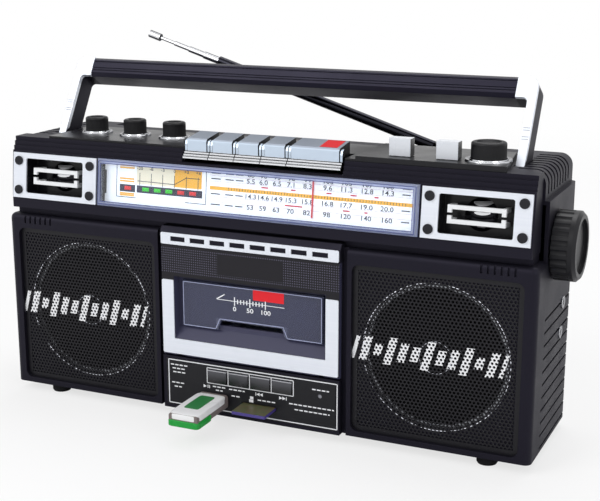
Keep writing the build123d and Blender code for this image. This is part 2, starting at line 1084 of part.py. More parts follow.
# Speaker baskets with their magnets, screwed behind the panels
with BuildPart() as speaker_baskets:
    for side in (-1, 1):
        with BuildSketch(level(speaker_height)) as section:
            with BuildLine():
                Polyline(
                    (side * speaker_across, bay_wall_back + cone_depth + basket_neck),
                    (side * speaker_across, bay_wall_back + speaker_depth),
                    (side * speaker_across + magnet_radius, bay_wall_back + speaker_depth),
                    (
                        side * speaker_across + magnet_radius,
                        bay_wall_back + speaker_depth - magnet_depth,
                    ),
                    (
                        side * speaker_across + speaker_flange_radius - basket_rim,
                        bay_wall_back + speaker_flange,
                    ),
                    (side * speaker_across + speaker_flange_radius, bay_wall_back + speaker_flange),
                    (side * speaker_across + speaker_flange_radius, bay_wall_back),
                    (side * speaker_across + cone_radius + moving_gap, bay_wall_back),
                    (
                        side * speaker_across + cone_radius + moving_gap,
                        bay_wall_back + speaker_flange,
                    ),
                    (side * speaker_across + magnet_radius - basket_neck, bay_wall_back + cone_depth + basket_neck),
                    close=True,
                )
            make_face()
        revolve(
            section.sketch,
            axis=Axis(
                (mid_x + side * speaker_across, mid_y, speaker_height), (0, 1, 0)
            ),
        )
speaker_baskets.part.label = "speaker_baskets"
export_step(speaker_baskets.part, "parts/speaker_baskets.step")

# Paper cones with their dust caps
with BuildPart() as speaker_cones:
    for side in (-1, 1):
        middle = side * speaker_across
        front = bay_wall_back + moving_gap
        with BuildSketch(level(speaker_height)) as section:
            with BuildLine():
                Polyline(
                    (middle, front + cone_depth - cone_cap_rise),
                    (middle + cone_throat_radius, front + cone_depth),
                    (middle + cone_radius - cone_surround, front),
                    (middle + cone_radius, front),
                    (middle + cone_radius, front + cone_wall),
                    (middle + cone_radius - cone_surround + cone_wall, front + cone_wall),
                    (middle + cone_throat_radius, front + cone_depth + 2 * cone_wall),
                    (middle, front + cone_depth - cone_cap_rise + cone_wall),
                    close=True,
                )
            make_face()
        revolve(section.sketch, axis=Axis((mid_x + middle, mid_y, speaker_height), (0, 1, 0)))
speaker_cones.part.label = "speaker_cones"
export_step(speaker_cones.part, "parts/speaker_cones.step")

# Silver plates around the tweeters
with BuildPart() as tweeter_plates:
    for side in (-1, 1):
        slab(on_band(0), around(side * tweeter_across, plate_width), (0, plate_height), plate_thickness)
        slab(
            on_band(-1),
            around(side * tweeter_across, horn_width),
            around(plate_height / 2, horn_height),
            plate_thickness + 2,
            horn_corner_radius,
            Mode.SUBTRACT,
        )
        for step in (-1, 1):
            for up in screw_ups:
                disc(
                    on_band(-1),
                    (side * tweeter_across + step * plate_screw_across, up),
                    screw_shank_radius + seat_gap,
                    plate_thickness + 2,
                    Mode.SUBTRACT,
                )
tweeter_plates.part.label = "tweeter_plates"
export_step(tweeter_plates.part, "parts/tweeter_plates.step")

# Black screws: the round-headed ones of the plates and the sunk ones of the rear shell
with BuildPart() as screws:
    for side in (-1, 1):
        for step in (-1, 1):
            for up in screw_ups:
                place = (side * tweeter_across + step * plate_screw_across, up)
                disc(on_band(plate_thickness), place, plate_screw_radius, screw_head)
                disc(
                    on_band(plate_thickness),
                    place,
                    screw_shank_radius,
                    -plate_thickness - plate_screw_length,
                )
    for place in case_screw_places:
        disc(facing(case_depth - screw_sink), place, screw_head_radius, -screw_head)
        disc(facing(case_depth - screw_sink), place, screw_shank_radius, case_screw_length)
screws.part.label = "screws"
export_step(screws.part, "parts/screws.step")

# Tweeter horns: black cups behind the plates, each with its dome on the floor
with BuildPart() as tweeter_horns:
    for side in (-1, 1):
        slab(
            on_band(0),
            around(side * tweeter_across, horn_width + 2 * horn_wall),
            around(plate_height / 2, horn_height + 2 * horn_wall),
            -horn_depth - horn_wall,
        )
        slab(
            on_band(0),
            around(side * tweeter_across, horn_width),
            around(plate_height / 2, horn_height),
            -horn_depth,
            horn_corner_radius,
            Mode.SUBTRACT,
        )
        disc(
            on_band(-horn_depth - horn_wall),
            (side * tweeter_across, plate_height / 2),
            tweeter_magnet_radius,
            -tweeter_magnet_depth,
        )
tweeter_horns.part.label = "tweeter_horns"
export_step(tweeter_horns.part, "parts/tweeter_horns.step")

# Chromed tweeter domes: low caps of a ball on the floors of the horns
with BuildPart() as tweeter_domes:
    for side in (-1, 1):
        centre = on_band(dome_rise - horn_depth - dome_ball_radius).from_local_coords(
            (side * tweeter_across, plate_height / 2, 0)
        )
        with Locations(centre):
            Sphere(dome_ball_radius)
    slab(
        on_band(-horn_depth),
        (-band_half_width, band_half_width),
        (-plate_height, 2 * plate_height),
        -2 * dome_ball_radius,
        mode=Mode.SUBTRACT,
    )
tweeter_domes.part.label = "tweeter_domes"
export_step(tweeter_domes.part, "parts/tweeter_domes.step")

# White guard bars in front of the domes, each on two legs
with BuildPart() as tweeter_guards:
    for side in (-1, 1):
        for turn in (-1, 1):
            middle = side * tweeter_across
            inner = plate_height / 2 + turn * (guard_gap / 2 + guard_end)
            outer = inner + turn * guard_bar
            tip = plate_height / 2 + turn * guard_gap / 2
            slab(
                on_band(-guard_setback),
                (middle - guard_half_width, middle + guard_half_width),
                sorted((inner, outer)),
                -guard_thickness,
            )
            for step in (-1, 1):
                post = sorted(
                    (middle + step * guard_half_width, middle + step * (guard_half_width - guard_bar))
                )
                slab(on_band(-guard_setback), post, sorted((tip, outer)), -guard_thickness)
                slab(
                    on_band(-guard_setback - guard_thickness / 2),
                    post,
                    sorted((inner, outer)),
                    guard_setback + guard_thickness / 2 - horn_depth,
                )
tweeter_guards.part.label = "tweeter_guards"
export_step(tweeter_guards.part, "parts/tweeter_guards.step")

# Dial window: a thick clear cap with bevelled rims
with BuildPart() as dial_lens:
    slab(
        on_band(-dial_lens_seat),
        (-dial_lens_half_width, dial_lens_half_width),
        (0, dial_lens_height),
        dial_lens_seat + dial_lens_proud,
    )
    chamfer(dial_lens.faces().sort_by(Axis((0, 0, 0), (0, -1, 0)))[-1].edges(), dial_lens_bevel)
    slab(
        on_band(-dial_lens_seat),
        (-dial_lens_half_width + dial_lens_wall, dial_lens_half_width - dial_lens_wall),
        (dial_lens_wall - 1, dial_lens_height - dial_lens_wall + 1),
        dial_lens_seat + dial_lens_proud - dial_lens_front,
        mode=Mode.SUBTRACT,
    )
dial_lens.part.label = "dial_lens"
export_step(dial_lens.part, "parts/dial_lens.step")

# Dial scale: a printed plate on end posts behind the band's wall
with BuildPart() as dial_scale:
    slab(
        on_band(-scale_depth),
        (-scale_half_width, scale_half_width),
        (scale_up, dial_lens_height - scale_down),
        -scale_thickness,
    )
    for side in (-1, 1):
        slab(
            on_band(-band_wall),
            sorted((side * (scale_half_width - scale_post_width), side * scale_half_width)),
            scale_post_ups,
            -scale_depth + band_wall,
        )
dial_scale.part.label = "dial_scale"
export_step(dial_scale.part, "parts/dial_scale.step")

# Dial pointer: a blade that hooks over the top edge of the scale and slides along it
with BuildPart() as dial_pointer:
    blade_front = -scale_depth + moving_gap + pointer_thickness
    slab(
        on_band(blade_front),
        around(pointer_across, pointer_width),
        (pointer_foot, dial_lens_height - scale_down + 2 * moving_gap),
        -pointer_thickness,
    )
    slab(
        on_band(blade_front),
        around(pointer_across, pointer_clip_width),
        (dial_lens_height - scale_down + moving_gap, dial_lens_height + 2 * moving_gap),
        -pointer_thickness - scale_thickness - 2 * moving_gap - pointer_clip_wall,
    )
dial_pointer.part.label = "dial_pointer"
export_step(dial_pointer.part, "parts/dial_pointer.step")

# Control top: a glossy plate over both shells, raised at the right, with the key well
with BuildPart() as control_top:
    slab(level(case_top), (deck_left, raised_left), (deck_front, deck_back), top_plate)
    bar(
        level(case_top),
        [
            (raised_left, deck_front),
            (raised_right, deck_front),
            (raised_right_rear, deck_back),
            (raised_left, deck_back),
        ],
        raised_plate,
    )
    slab(
        level(case_top - 1),
        key_well,
        (deck_front - 1, key_back + 1),
        raised_plate + 2,
        mode=Mode.SUBTRACT,
    )
    for place in small_knobs + [large_knob]:
        disc(
            level(case_top - 1),
            place,
            knob_shaft_radius + 2 * running_gap,
            raised_plate + 2,
            Mode.SUBTRACT,
        )
    for across in switch_across:
        slab(
            level(case_top - 1),
            around(across, switch_stem + 2 * moving_gap),
            (
                switch_front + (switch_cap_depth - switch_stem_depth) / 2 - moving_gap,
                switch_front + (switch_cap_depth + switch_stem_depth) / 2 + moving_gap + switch_travel,
            ),
            raised_plate + 2,
            mode=Mode.SUBTRACT,
        )
    # Ears that carry the rod of the keys
    for edges in (
        (key_well[0] - key_ear_width, key_well[0]),
        (key_well[1], key_well[1] + key_ear_width),
    ):
        slab(
            level(case_top),
            edges,
            around(key_pivot_back, 2 * key_ear_half_depth),
            key_pivot_height - key_ear_half_depth - case_top,
        )
    disc(
        aside(key_well[0] - key_ear_width - 1),
        (key_pivot_back, key_pivot_height),
        key_rod_radius + running_gap,
        key_well[1] - key_well[0] + 2 * key_ear_width + 2,
        Mode.SUBTRACT,
    )
control_top.part.label = "control_top"
export_step(control_top.part, "parts/control_top.step")

# Chrome rings around the knobs
with BuildPart() as knob_rings:
    for place in small_knobs + [large_knob]:
        radius = large_ring_radius if place == large_knob else small_ring_radius
        hole = (large_knob_radius if place == large_knob else small_knob_radius) + 2 * moving_gap
        with BuildSketch(level(knob_floor[place])) as ring:
            with Locations(place):
                Circle(radius)
                Circle(hole, mode=Mode.SUBTRACT)
        extrude(ring.sketch, amount=ring_height)
knob_rings.part.label = "knob_rings"
export_step(knob_rings.part, "parts/knob_rings.step")

# Rotary knobs, each pressed on its own shaft
knob_names = ("volume_knob", "bass_knob", "treble_knob", "function_knob")
for name, place in zip(knob_names, small_knobs + [large_knob]):
    radius = large_knob_radius if place == large_knob else small_knob_radius
    height = large_knob_height if place == large_knob else small_knob_height
    floor = knob_floor[place] + moving_gap
    with BuildPart() as knob:
        disc(level(floor), place, radius, height)
        fillet(knob.edges().group_by(Axis.Z)[-1], radius=knob_lip_radius)
        disc(
            level(floor + height), place, radius - knob_dish_rim, -knob_dish_depth, Mode.SUBTRACT
        )
        shaft_foot = control_board_height + knob_shaft_reach
        disc(level(shaft_foot), place, knob_shaft_radius, floor + 1 - shaft_foot)
    knob.part.label = name
    export_step(knob.part, f"parts/{name}.step")

# Slide-switch caps, whose stems run in the slots of the control top
for name, across in zip(("tape_switch", "band_switch"), switch_across):
    floor = case_top + raised_plate + moving_gap
    stem_back = switch_front + switch_cap_depth / 2
    with BuildPart() as switch:
        slab(
            level(floor),
            around(across, switch_cap_width),
            (switch_front, switch_front + switch_cap_depth),
            switch_cap_height,
            switch_cap_radius,
        )
        slab(
            level(floor + 1),
            around(across, switch_stem),
            around(stem_back, switch_stem_depth),
            case_top - switch_foot_depth - floor - 1,
        )
        slab(
            level(case_top - moving_gap),
            around(across, switch_stem + 2 * switch_catch_wall),
            around(stem_back, switch_stem_depth),
            -switch_catch_thickness,
        )
    switch.part.label = name
    export_step(switch.part, f"parts/{name}.step")

# Piano keys: four narrow and one wide, turning about one rod behind them
key_names = ("stop_key", "rewind_key", "forward_key", "play_key", "record_key")
for turn, name in enumerate(key_names):
    left = key_left + key_pitch * turn + key_split / 2
    right = left + key_pitch * (2 if turn == 4 else 1) - key_split
    rise = (key_ledge_top - key_ledge_bottom) / 3
    ledge = (key_front - key_ledge_front) / 3
    with BuildPart() as key:
        # Stepped ledge in front
        bar(
            aside(left),
            [
                (key_front + 4, key_ledge_bottom),
                (key_ledge_front, key_ledge_bottom),
                (key_ledge_front, key_ledge_bottom + rise),
                (key_ledge_front + ledge, key_ledge_bottom + rise),
                (key_ledge_front + ledge, key_ledge_bottom + 2 * rise),
                (key_ledge_front + 2 * ledge, key_ledge_bottom + 2 * rise),
                (key_ledge_front + 2 * ledge, key_ledge_top),
                (key_front + 4, key_ledge_top),
            ],
            right - left,
        )
        # Cheeks and the pressed face between them
        for near, far in ((left, left + key_cheek), (right - key_cheek, right)):
            bar(
                aside(near),
                [
                    (key_front, key_ledge_top - 1),
                    (key_front, key_top - 2.5 * key_bevel),
                    (key_front + key_bevel / 2, key_top - key_bevel),
                    (key_front + 2 * key_bevel, key_top - key_bevel / 2),
                    (key_front + 4 * key_bevel, key_ledge_top - 1),
                ],
                far - near,
            )
        bar(
            aside(left + key_cheek + key_slit),
            [
                (key_front - key_proud, key_ledge_top - 1),
                (key_front - key_proud, key_top - key_bevel),
                (key_front - key_proud + key_bevel, key_top),
                (key_back, key_top + key_top_rise),
                (key_back, key_body_bottom),
                (key_front + 4, key_body_bottom),
            ],
            right - left - 2 * key_cheek - 2 * key_slit,
        )
        # Lever to the rod
        lever_left = (left + right - key_lever_width) / 2
        slab(
            aside(lever_left),
            (key_front + 3, key_pivot_back),
            (key_ledge_bottom, key_ledge_bottom + key_lever_thickness),
            key_lever_width,
        )
        disc(
            aside(lever_left), (key_pivot_back, key_pivot_height), key_eye_radius, key_lever_width
        )
        disc(
            aside(lever_left - 1),
            (key_pivot_back, key_pivot_height),
            key_rod_radius + running_gap,
            key_lever_width + 2,
            Mode.SUBTRACT,
        )
    key.part.label = name
    export_step(key.part, f"parts/{name}.step")

# Steel rod that the keys turn on
with BuildPart() as key_rod:
    disc(
        aside(key_well[0] - key_ear_width - key_rod_end),
        (key_pivot_back, key_pivot_height),
        key_rod_radius,
        key_well[1] - key_well[0] + 2 * (key_ear_width + key_rod_end),
    )
key_rod.part.label = "key_rod"
export_step(key_rod.part, "parts/key_rod.step")

# Silver strip with eight slots across the top of the centre section
with BuildPart() as slot_strip:
    slab(
        facing(-centre_proud),
        (-strip_half_width, strip_half_width),
        (strip_bottom, strip_top),
        strip_thickness,
        strip_corner_radius,
    )
    for turn in range(strip_slot_count):
        slab(
            facing(-centre_proud + 1),
            around(strip_slot_pitch * (turn - (strip_slot_count - 1) / 2), strip_slot_width),
            around((strip_bottom + strip_top) / 2, strip_slot_height),
            3,
            mode=Mode.SUBTRACT,
        )
slot_strip.part.label = "slot_strip"
export_step(slot_strip.part, "parts/slot_strip.step")

# Cassette door: a moulded plate with the window tub in front and the cassette guides behind
tub_half_width = window_half_width + window_floor
guide_inner = cassette_half_width + moving_gap
guide_outer = guide_inner + guide_wall
with BuildPart() as cassette_door:
    slab(
        facing(door_back),
        (-door_half_width, door_half_width),
        (door_bottom, door_top),
        door_back + centre_proud,
    )
    fillet(
        cassette_door.edges().filter_by(Axis.X).group_by(Axis.Z)[0],
        radius=door_thickness / 2 - seat_gap,
    )
    slab(
        facing(window_back + window_floor),
        (-tub_half_width, tub_half_width),
        (window_bottom - window_floor, window_top + window_floor),
        window_back + window_floor - door_back + 1,
    )
    bar(
        aside(-window_half_width),
        [
            (-centre_proud - 1, window_bottom - 1),
            (-centre_proud, window_bottom),
            (window_back, lens_bottom - 0.5),
            (window_back, window_top),
            (-centre_proud - 1, window_top),
        ],
        2 * window_half_width,
        Mode.SUBTRACT,
    )
    slab(
        facing(window_back + window_floor + 1),
        (-lens_half_width + 4, lens_half_width - 4),
        (lens_bottom + 3, lens_top - 3),
        window_floor + 2,
        mode=Mode.SUBTRACT,
    )
    for side in (-1, 1):
        tub_back = window_back + window_floor
        slab(
            facing(tub_back - 1),
            sorted((side * guide_inner, side * guide_outer)),
            (shelf_height + 1, guide_top),
            -cassette_thickness - guide_wall - 1,
        )
        slab(
            facing(tub_back + cassette_thickness),
            sorted((side * (cassette_half_width - guide_overlap), side * guide_outer)),
            (shelf_height + 1, guide_top),
            -guide_wall,
        )
        slab(
            facing(tub_back - window_floor),
            sorted((side * shelf_reach, side * guide_outer)),
            (shelf_height + 1, shelf_height + 1 + shelf_thickness),
            -cassette_thickness - guide_wall - window_floor,
        )
        slab(
            facing(tub_back),
            sorted((side * shelf_reach, side * guide_outer)),
            (shelf_height + 1, window_bottom),
            window_floor,
        )
        # Notch around the cabinet's hinge lug
        slab(
            facing(door_back + 1),
            around(side * door_lug_across, door_lug_width + 2 * moving_gap),
            (door_bottom - 1, door_hinge_height + door_lug_radius + lug_notch_over),
            door_back + centre_proud + 2,
            mode=Mode.SUBTRACT,
        )
    disc(
        aside(-door_lug_across - door_lug_width),
        (door_hinge_back, door_hinge_height),
        door_pin_radius,
        2 * (door_lug_across + door_lug_width),
    )
cassette_door.part.label = "cassette_door"
export_step(cassette_door.part, "parts/cassette_door.step")

# Silver trim around three sides of the window
with BuildPart() as door_trim:
    slab(
        facing(-centre_proud),
        (-trim_half_width, trim_half_width),
        (trim_bottom, trim_top),
        trim_thickness,
        trim_corner_radius,
    )
    slab(
        facing(-centre_proud + 1),
        (-window_half_width, window_half_width),
        (window_bottom, trim_top + 1),
        trim_thickness + 2,
        mode=Mode.SUBTRACT,
    )
door_trim.part.label = "door_trim"
export_step(door_trim.part, "parts/door_trim.step")

# Clear window of the door, with a finger notch in its lower edge
with BuildPart() as door_lens:
    slab(
        facing(window_back),
        (-lens_half_width, lens_half_width),
        (lens_bottom, lens_top),
        lens_thickness,
    )
    chamfer(door_lens.faces().sort_by(Axis.Y)[0].edges(), lens_bevel)
    bar(
        facing(window_back + 1),
        [
            (-lens_notch_half_width - lens_notch_slope / 2, lens_bottom - 1),
            (-lens_notch_half_width + lens_notch_slope / 2, lens_bottom + lens_notch_height),
            (lens_notch_half_width - lens_notch_slope / 2, lens_bottom + lens_notch_height),
            (lens_notch_half_width + lens_notch_slope / 2, lens_bottom - 1),
        ],
        lens_thickness + 2,
        Mode.SUBTRACT,
    )
door_lens.part.label = "door_lens"
export_step(door_lens.part, "parts/door_lens.step")

# Steel deck plate on the front shell's posts, with bearings for everything that turns
capstan = (-capstan_across, capstan_height)
with BuildPart() as deck_plate:
    slab(
        facing(deck_plate_back + deck_plate_thickness),
        (-deck_plate_half_width, deck_plate_half_width),
        (deck_plate_bottom, deck_plate_top),
        deck_plate_thickness,
    )
    for side in (-1, 1):
        disc(
            facing(deck_plate_back + 3),
            (side * reel_across, reel_height),
            reel_shaft_radius + running_gap,
            4,
            Mode.SUBTRACT,
        )
    disc(facing(deck_plate_back + 3), capstan, capstan_radius + running_gap, 4, Mode.SUBTRACT)
deck_plate.part.label = "deck_plate"
export_step(deck_plate.part, "parts/deck_plate.step")

# Reel spindles that turn the cassette's hubs
for name, side in (("supply_spindle", -1), ("takeup_spindle", 1)):
    place = (side * reel_across, reel_height)
    with BuildPart() as spindle:
        disc(facing(deck_plate_back + reel_tail), place, reel_shaft_radius, reel_tail + 1)
        disc(facing(deck_plate_back - moving_gap), place, reel_disc_radius, reel_disc)
        disc(facing(deck_plate_back - 1), place, reel_hub_radius, deck_plate_back - 1 - reel_tip_back)
        for spline in range(3):
            with BuildSketch(facing(deck_plate_back - 1)) as rib:
                with Locations(place):
                    with PolarLocations(reel_hub_radius, 1, start_angle=120 * spline):
                        Rectangle(spline_length, spline_width)
            extrude(rib.sketch, amount=deck_plate_back - 1 - reel_tip_back - spline_short)
    spindle.part.label = name
    export_step(spindle.part, f"parts/{name}.step")

# Flywheel behind the plate, with the capstan as its shaft
with BuildPart() as flywheel:
    disc(
        facing(deck_plate_back + deck_plate_thickness + 1 + flywheel_thickness),
        capstan,
        flywheel_radius,
        flywheel_thickness,
    )
    disc(
        facing(deck_plate_back + deck_plate_thickness + 2),
        capstan,
        capstan_radius,
        deck_plate_thickness + 2 + capstan_reach,
    )
flywheel.part.label = "flywheel"
export_step(flywheel.part, "parts/flywheel.step")

# Deck motor with its pulley, screwed behind the plate
with BuildPart() as deck_motor:
    motor_front = deck_plate_back + deck_plate_thickness
    disc(facing(motor_front), (motor_across, motor_height), motor_radius, -motor_length)
    disc(
        facing(motor_front + motor_length),
        (motor_across, motor_height),
        motor_pulley_radius,
        -motor_pulley_length,
    )
deck_motor.part.label = "deck_motor"
export_step(deck_motor.part, "parts/deck_motor.step")

# Tape head on its bracket, below the cassette
head_foot = deck_plate_bottom + head_bracket_up + head_bracket_thickness
with BuildPart() as tape_head:
    slab(
        facing(deck_plate_back),
        (-head_bracket_half_width, head_bracket_half_width),
        (head_foot - head_bracket_thickness, head_foot),
        deck_plate_back - head_backs[0],
    )
    slab(
        facing(head_backs[1]),
        (-head_half_width, head_half_width),
        (head_foot, shelf_height),
        head_backs[1] - head_backs[0],
        head_corner_radius,
    )
tape_head.part.label = "tape_head"
export_step(tape_head.part, "parts/tape_head.step")

# Lower control panel
panel_back = -centre_proud + panel_recess
with BuildPart() as control_panel:
    slab(
        facing(panel_back),
        (-panel_half_width, panel_half_width),
        (panel_bottom, panel_top),
        panel_thickness,
    )
    for across in button_places:
        slab(
            facing(panel_back + 1),
            around(across, button_width + 2 * moving_gap),
            around(button_middle_height, button_height + 2 * moving_gap),
            3,
            mode=Mode.SUBTRACT,
        )
    slab(
        facing(panel_back + 1),
        around(stick_across, plug_width + 2 * socket_mouth_gap),
        around(stick_middle_height, plug_thickness + 2 * socket_mouth_gap),
        3,
        mode=Mode.SUBTRACT,
    )
    slab(
        facing(panel_back + 1),
        around(card_across, card_width + 2 * card_mouth_gap),
        around(card_middle_height, card_thickness + 2 * card_mouth_gap),
        3,
        mode=Mode.SUBTRACT,
    )
    disc(facing(panel_back - mic_depth), (mic_across, mic_height), mic_radius, 2, Mode.SUBTRACT)
control_panel.part.label = "control_panel"
export_step(control_panel.part, "parts/control_panel.step")

# Four player buttons, held behind the pad by their flanges
pad_back = -centre_proud + pad_wall
button_names = ("play_button", "erase_button", "previous_button", "next_button")
for name, across in zip(button_names, button_places):
    with BuildPart() as button:
        slab(
            facing(pad_back + moving_gap + button_flange),
            around(across, button_width),
            around(button_middle_height, button_height),
            pad_back + moving_gap + button_flange + centre_proud + button_proud,
            button_radius,
        )
        slab(
            facing(pad_back + moving_gap + button_flange),
            around(across, button_width + 2 * button_lip),
            around(button_middle_height, button_height + 2 * button_lip),
            button_flange,
        )
    button.part.label = name
    export_step(button.part, f"parts/{name}.step")

# Memory stick with its plug in the socket
with BuildPart() as memory_stick:
    slab(
        facing(-centre_proud - stick_clear),
        around(stick_across, stick_width),
        around(stick_middle_height, stick_thickness),
        stick_reach - centre_proud - stick_clear,
        stick_corner_radius,
    )
    slab(
        facing(-centre_proud - moving_gap + plug_length),
        around(stick_across, plug_width),
        around(stick_middle_height, plug_thickness),
        plug_length + 1,
    )
memory_stick.part.label = "memory_stick"
export_step(memory_stick.part, "parts/memory_stick.step")

# Memory card half in its slot
with BuildPart() as memory_card:
    bar(
        level(card_middle_height - card_thickness / 2),
        [
            (card_across - card_width / 2, -card_reach),
            (card_across + card_width / 2, -card_reach),
            (card_across + card_width / 2, card_length - card_reach - card_corner),
            (card_across + card_width / 2 - card_corner, card_length - card_reach),
            (card_across - card_width / 2, card_length - card_reach),
        ],
        card_thickness,
    )
memory_card.part.label = "memory_card"
export_step(memory_card.part, "parts/memory_card.step")

# Circuit boards with what is soldered on them
with BuildPart() as circuit_boards:
    # Control board with the pots and the switch bodies
    slab(level(control_board_height), control_board_across, control_board_backs, board_thickness)
    board_face = control_board_height + board_thickness
    for place in small_knobs + [large_knob]:
        disc(level(board_face), place, pot_radius, case_top - board_face)
        disc(
            level(board_face + 1), place, knob_shaft_radius + running_gap, case_top, Mode.SUBTRACT
        )
    for across in switch_across:
        slab(
            level(board_face),
            around(across, switch_body_width),
            switch_body_backs,
            case_top - switch_foot_depth - moving_gap - board_face - 2,
        )
    # Main board on the rear shell's posts, with capacitors and a heat sink
    slab(facing(main_board_back), main_board_across, main_board_heights, board_thickness)
    for place in capacitor_places:
        disc(facing(main_board_back), place, capacitor_radius, -capacitor_height)
    heat_sink_last = heat_sink_first + heat_sink_pitch * (heat_sink_fins - 1)
    for fin in range(heat_sink_fins):
        slab(
            facing(main_board_back),
            around(heat_sink_first + heat_sink_pitch * fin, heat_sink_fin),
            heat_sink_heights,
            -heat_sink_depth,
        )
    slab(
        facing(main_board_back),
        (heat_sink_first - 2, heat_sink_last + 2),
        heat_sink_heights,
        -heat_sink_plate,
    )
    # Tuning capacitor at the end of the tuning shaft
    slab(
        aside(tuning_box_across),
        around(tuning_back, tuning_box_side),
        around(tuning_height, tuning_box_side),
        tuning_box_length,
    )
    disc(
        aside(tuning_box_across + 2),
        (tuning_back, tuning_height),
        knob_shaft_radius + running_gap,
        tuning_box_length,
        Mode.SUBTRACT,
    )
    tongue_low = main_board_heights[1] - 12
    slab(
        facing(main_board_back),
        (main_board_across[1], main_board_across[1] + 4),
        (tongue_low, tuning_height - tuning_box_side / 2 + 2),
        board_thickness,
    )
    slab(
        facing(main_board_back),
        (main_board_across[1] - 10, main_board_across[1] + 4),
        (tongue_low, main_board_heights[1]),
        board_thickness,
    )
    # Media board with the two sockets and the button switches
    slab(facing(media_board_back), media_board_across, media_board_heights, board_thickness)
    socket_front = pad_back + moving_gap
    media_face = media_board_back - board_thickness
    slab(
        facing(media_face),
        around(stick_across, plug_width + 2 * socket_wall),
        around(stick_middle_height, plug_thickness + 2 * socket_wall),
        media_face - socket_front,
    )
    slab(
        facing(media_face - 1),
        around(stick_across, plug_width + 2 * moving_gap),
        around(stick_middle_height, plug_thickness + 2 * moving_gap),
        media_face,
        mode=Mode.SUBTRACT,
    )
    slab(
        facing(media_face),
        around(card_across, card_width + 2 * socket_wall),
        around(card_middle_height, card_thickness + 4 * card_mouth_gap),
        media_face - socket_front,
    )
    slab(
        facing(media_face - card_mouth_gap),
        around(card_across, card_width + 2 * moving_gap),
        around(card_middle_height, card_thickness + 2 * moving_gap),
        media_face,
        mode=Mode.SUBTRACT,
    )
    for across in button_places:
        slab(
            facing(media_face),
            around(across, button_switch_side),
            around(button_middle_height, button_switch_side),
            media_face - pad_back - 2 * moving_gap - button_flange - button_travel,
        )
circuit_boards.part.label = "circuit_boards"
export_step(circuit_boards.part, "parts/circuit_boards.step")

# Mains transformer on the floor of the cabinet
with BuildPart() as transformer:
    slab(
        level(foot_height + wall),
        transformer_core_across,
        transformer_core_backs,
        transformer_core_height,
    )
    slab(
        level(foot_height + wall + transformer_coil_up),
        transformer_coil_across,
        transformer_coil_backs,
        transformer_coil_height,
    )
transformer.part.label = "transformer"
export_step(transformer.part, "parts/transformer.step")

# Mains inlet with its two pins
with BuildPart() as mains_inlet:
    slab(
        facing(case_depth),
        around(inlet_across, inlet_width),
        around(inlet_height, inlet_opening_height),
        inlet_depth,
        inlet_corner_radius,
    )
    slab(
        facing(case_depth + 1),
        around(inlet_across, inlet_width - 2 * inlet_wall),
        around(inlet_height, inlet_opening_height - 2 * inlet_wall),
        inlet_depth - inlet_floor,
        inlet_corner_radius,
        Mode.SUBTRACT,
    )
    for side in (-1, 1):
        disc(
            facing(case_depth - inlet_floor),
            (inlet_across + side * inlet_pin_across, inlet_height),
            inlet_pin_radius,
            inlet_depth - inlet_floor - 2,
        )
mains_inlet.part.label = "mains_inlet"
export_step(mains_inlet.part, "parts/mains_inlet.step")

# Side jacks: barrels with bright rings
with BuildPart() as side_jacks:
    for place in jack_places:
        disc(aside(case_half_width + jack_ring), place, jack_barrel_radius, -jack_length - 2)
        disc(aside(case_half_width), place, jack_ring_radius, jack_ring)
        disc(aside(case_half_width + jack_ring), place, jack_radius, -jack_length, Mode.SUBTRACT)
side_jacks.part.label = "side_jacks"
export_step(side_jacks.part, "parts/side_jacks.step")

# Tuning knob: scalloped rim, dished face, shaft into the tuning capacitor
with BuildPart() as tuning_knob:
    tuning_place = (tuning_back, tuning_height)
    disc(aside(case_half_width + tuning_stand_off), tuning_place, tuning_radius, tuning_length)
    rim_face = tuning_knob.faces().sort_by(Axis.X)[-1]
    chamfer(rim_face.edges(), tuning_bevel)
    with BuildSketch(aside(case_half_width + tuning_stand_off - 1)) as scallops:
        with Locations(tuning_place):
            with PolarLocations(tuning_radius + tuning_scallop_out, tuning_scallops):
                Circle(tuning_scallop_radius)
    extrude(scallops.sketch, amount=tuning_length - tuning_lip, mode=Mode.SUBTRACT)
    disc(
        aside(tuning_face),
        tuning_place,
        tuning_radius - tuning_dish_rim,
        -tuning_dish_depth,
        Mode.SUBTRACT,
    )
    disc(
        aside(case_half_width + tuning_stand_off + 2),
        tuning_place,
        knob_shaft_radius,
        -tuning_stand_off - 2 - wall - tuning_shaft_reach,
    )
tuning_knob.part.label = "tuning_knob"
export_step(tuning_knob.part, "parts/tuning_knob.step")

# Handle: drawn in a plane that leans with it, across then up along the arms
lean_away = radians(handle_lean)
arm_front = -handle_arm_depth / 2


def on_handle(forward):
    """A plane square to the handle's front, a distance in front of the pivot's line."""
    plane = Plane(
        origin=(mid_x, mid_y + handle_pivot_back, handle_pivot_height),
        x_dir=(1, 0, 0),
        z_dir=(0, -cos(lean_away), sin(lean_away)),
    )
    return plane.offset(forward)


def arm(forward, side, low, depth):
    """Extrude an arm with its corner: up the side, round, and in to the end of the grip."""
    grip_low = handle_length - grip_height
    with BuildSketch(on_handle(forward)) as outline:
        with BuildLine():
            Polyline(
                (side * arm_inner, low),
                (side * handle_half_width, low),
                (side * handle_half_width, handle_length),
                (side * grip_half_width, handle_length),
                (side * grip_half_width, grip_low),
                (side * arm_inner, grip_low),
                close=True,
            )
        make_face()
        outer = outline.vertices().sort_by_distance((side * handle_half_width, handle_length, 0))
        fillet(outer[0], radius=handle_corner_radius)
        inner = outline.vertices().sort_by_distance((side * arm_inner, grip_low, 0))
        fillet(inner[0], radius=handle_inner_radius)
    extrude(outline.sketch, amount=depth)


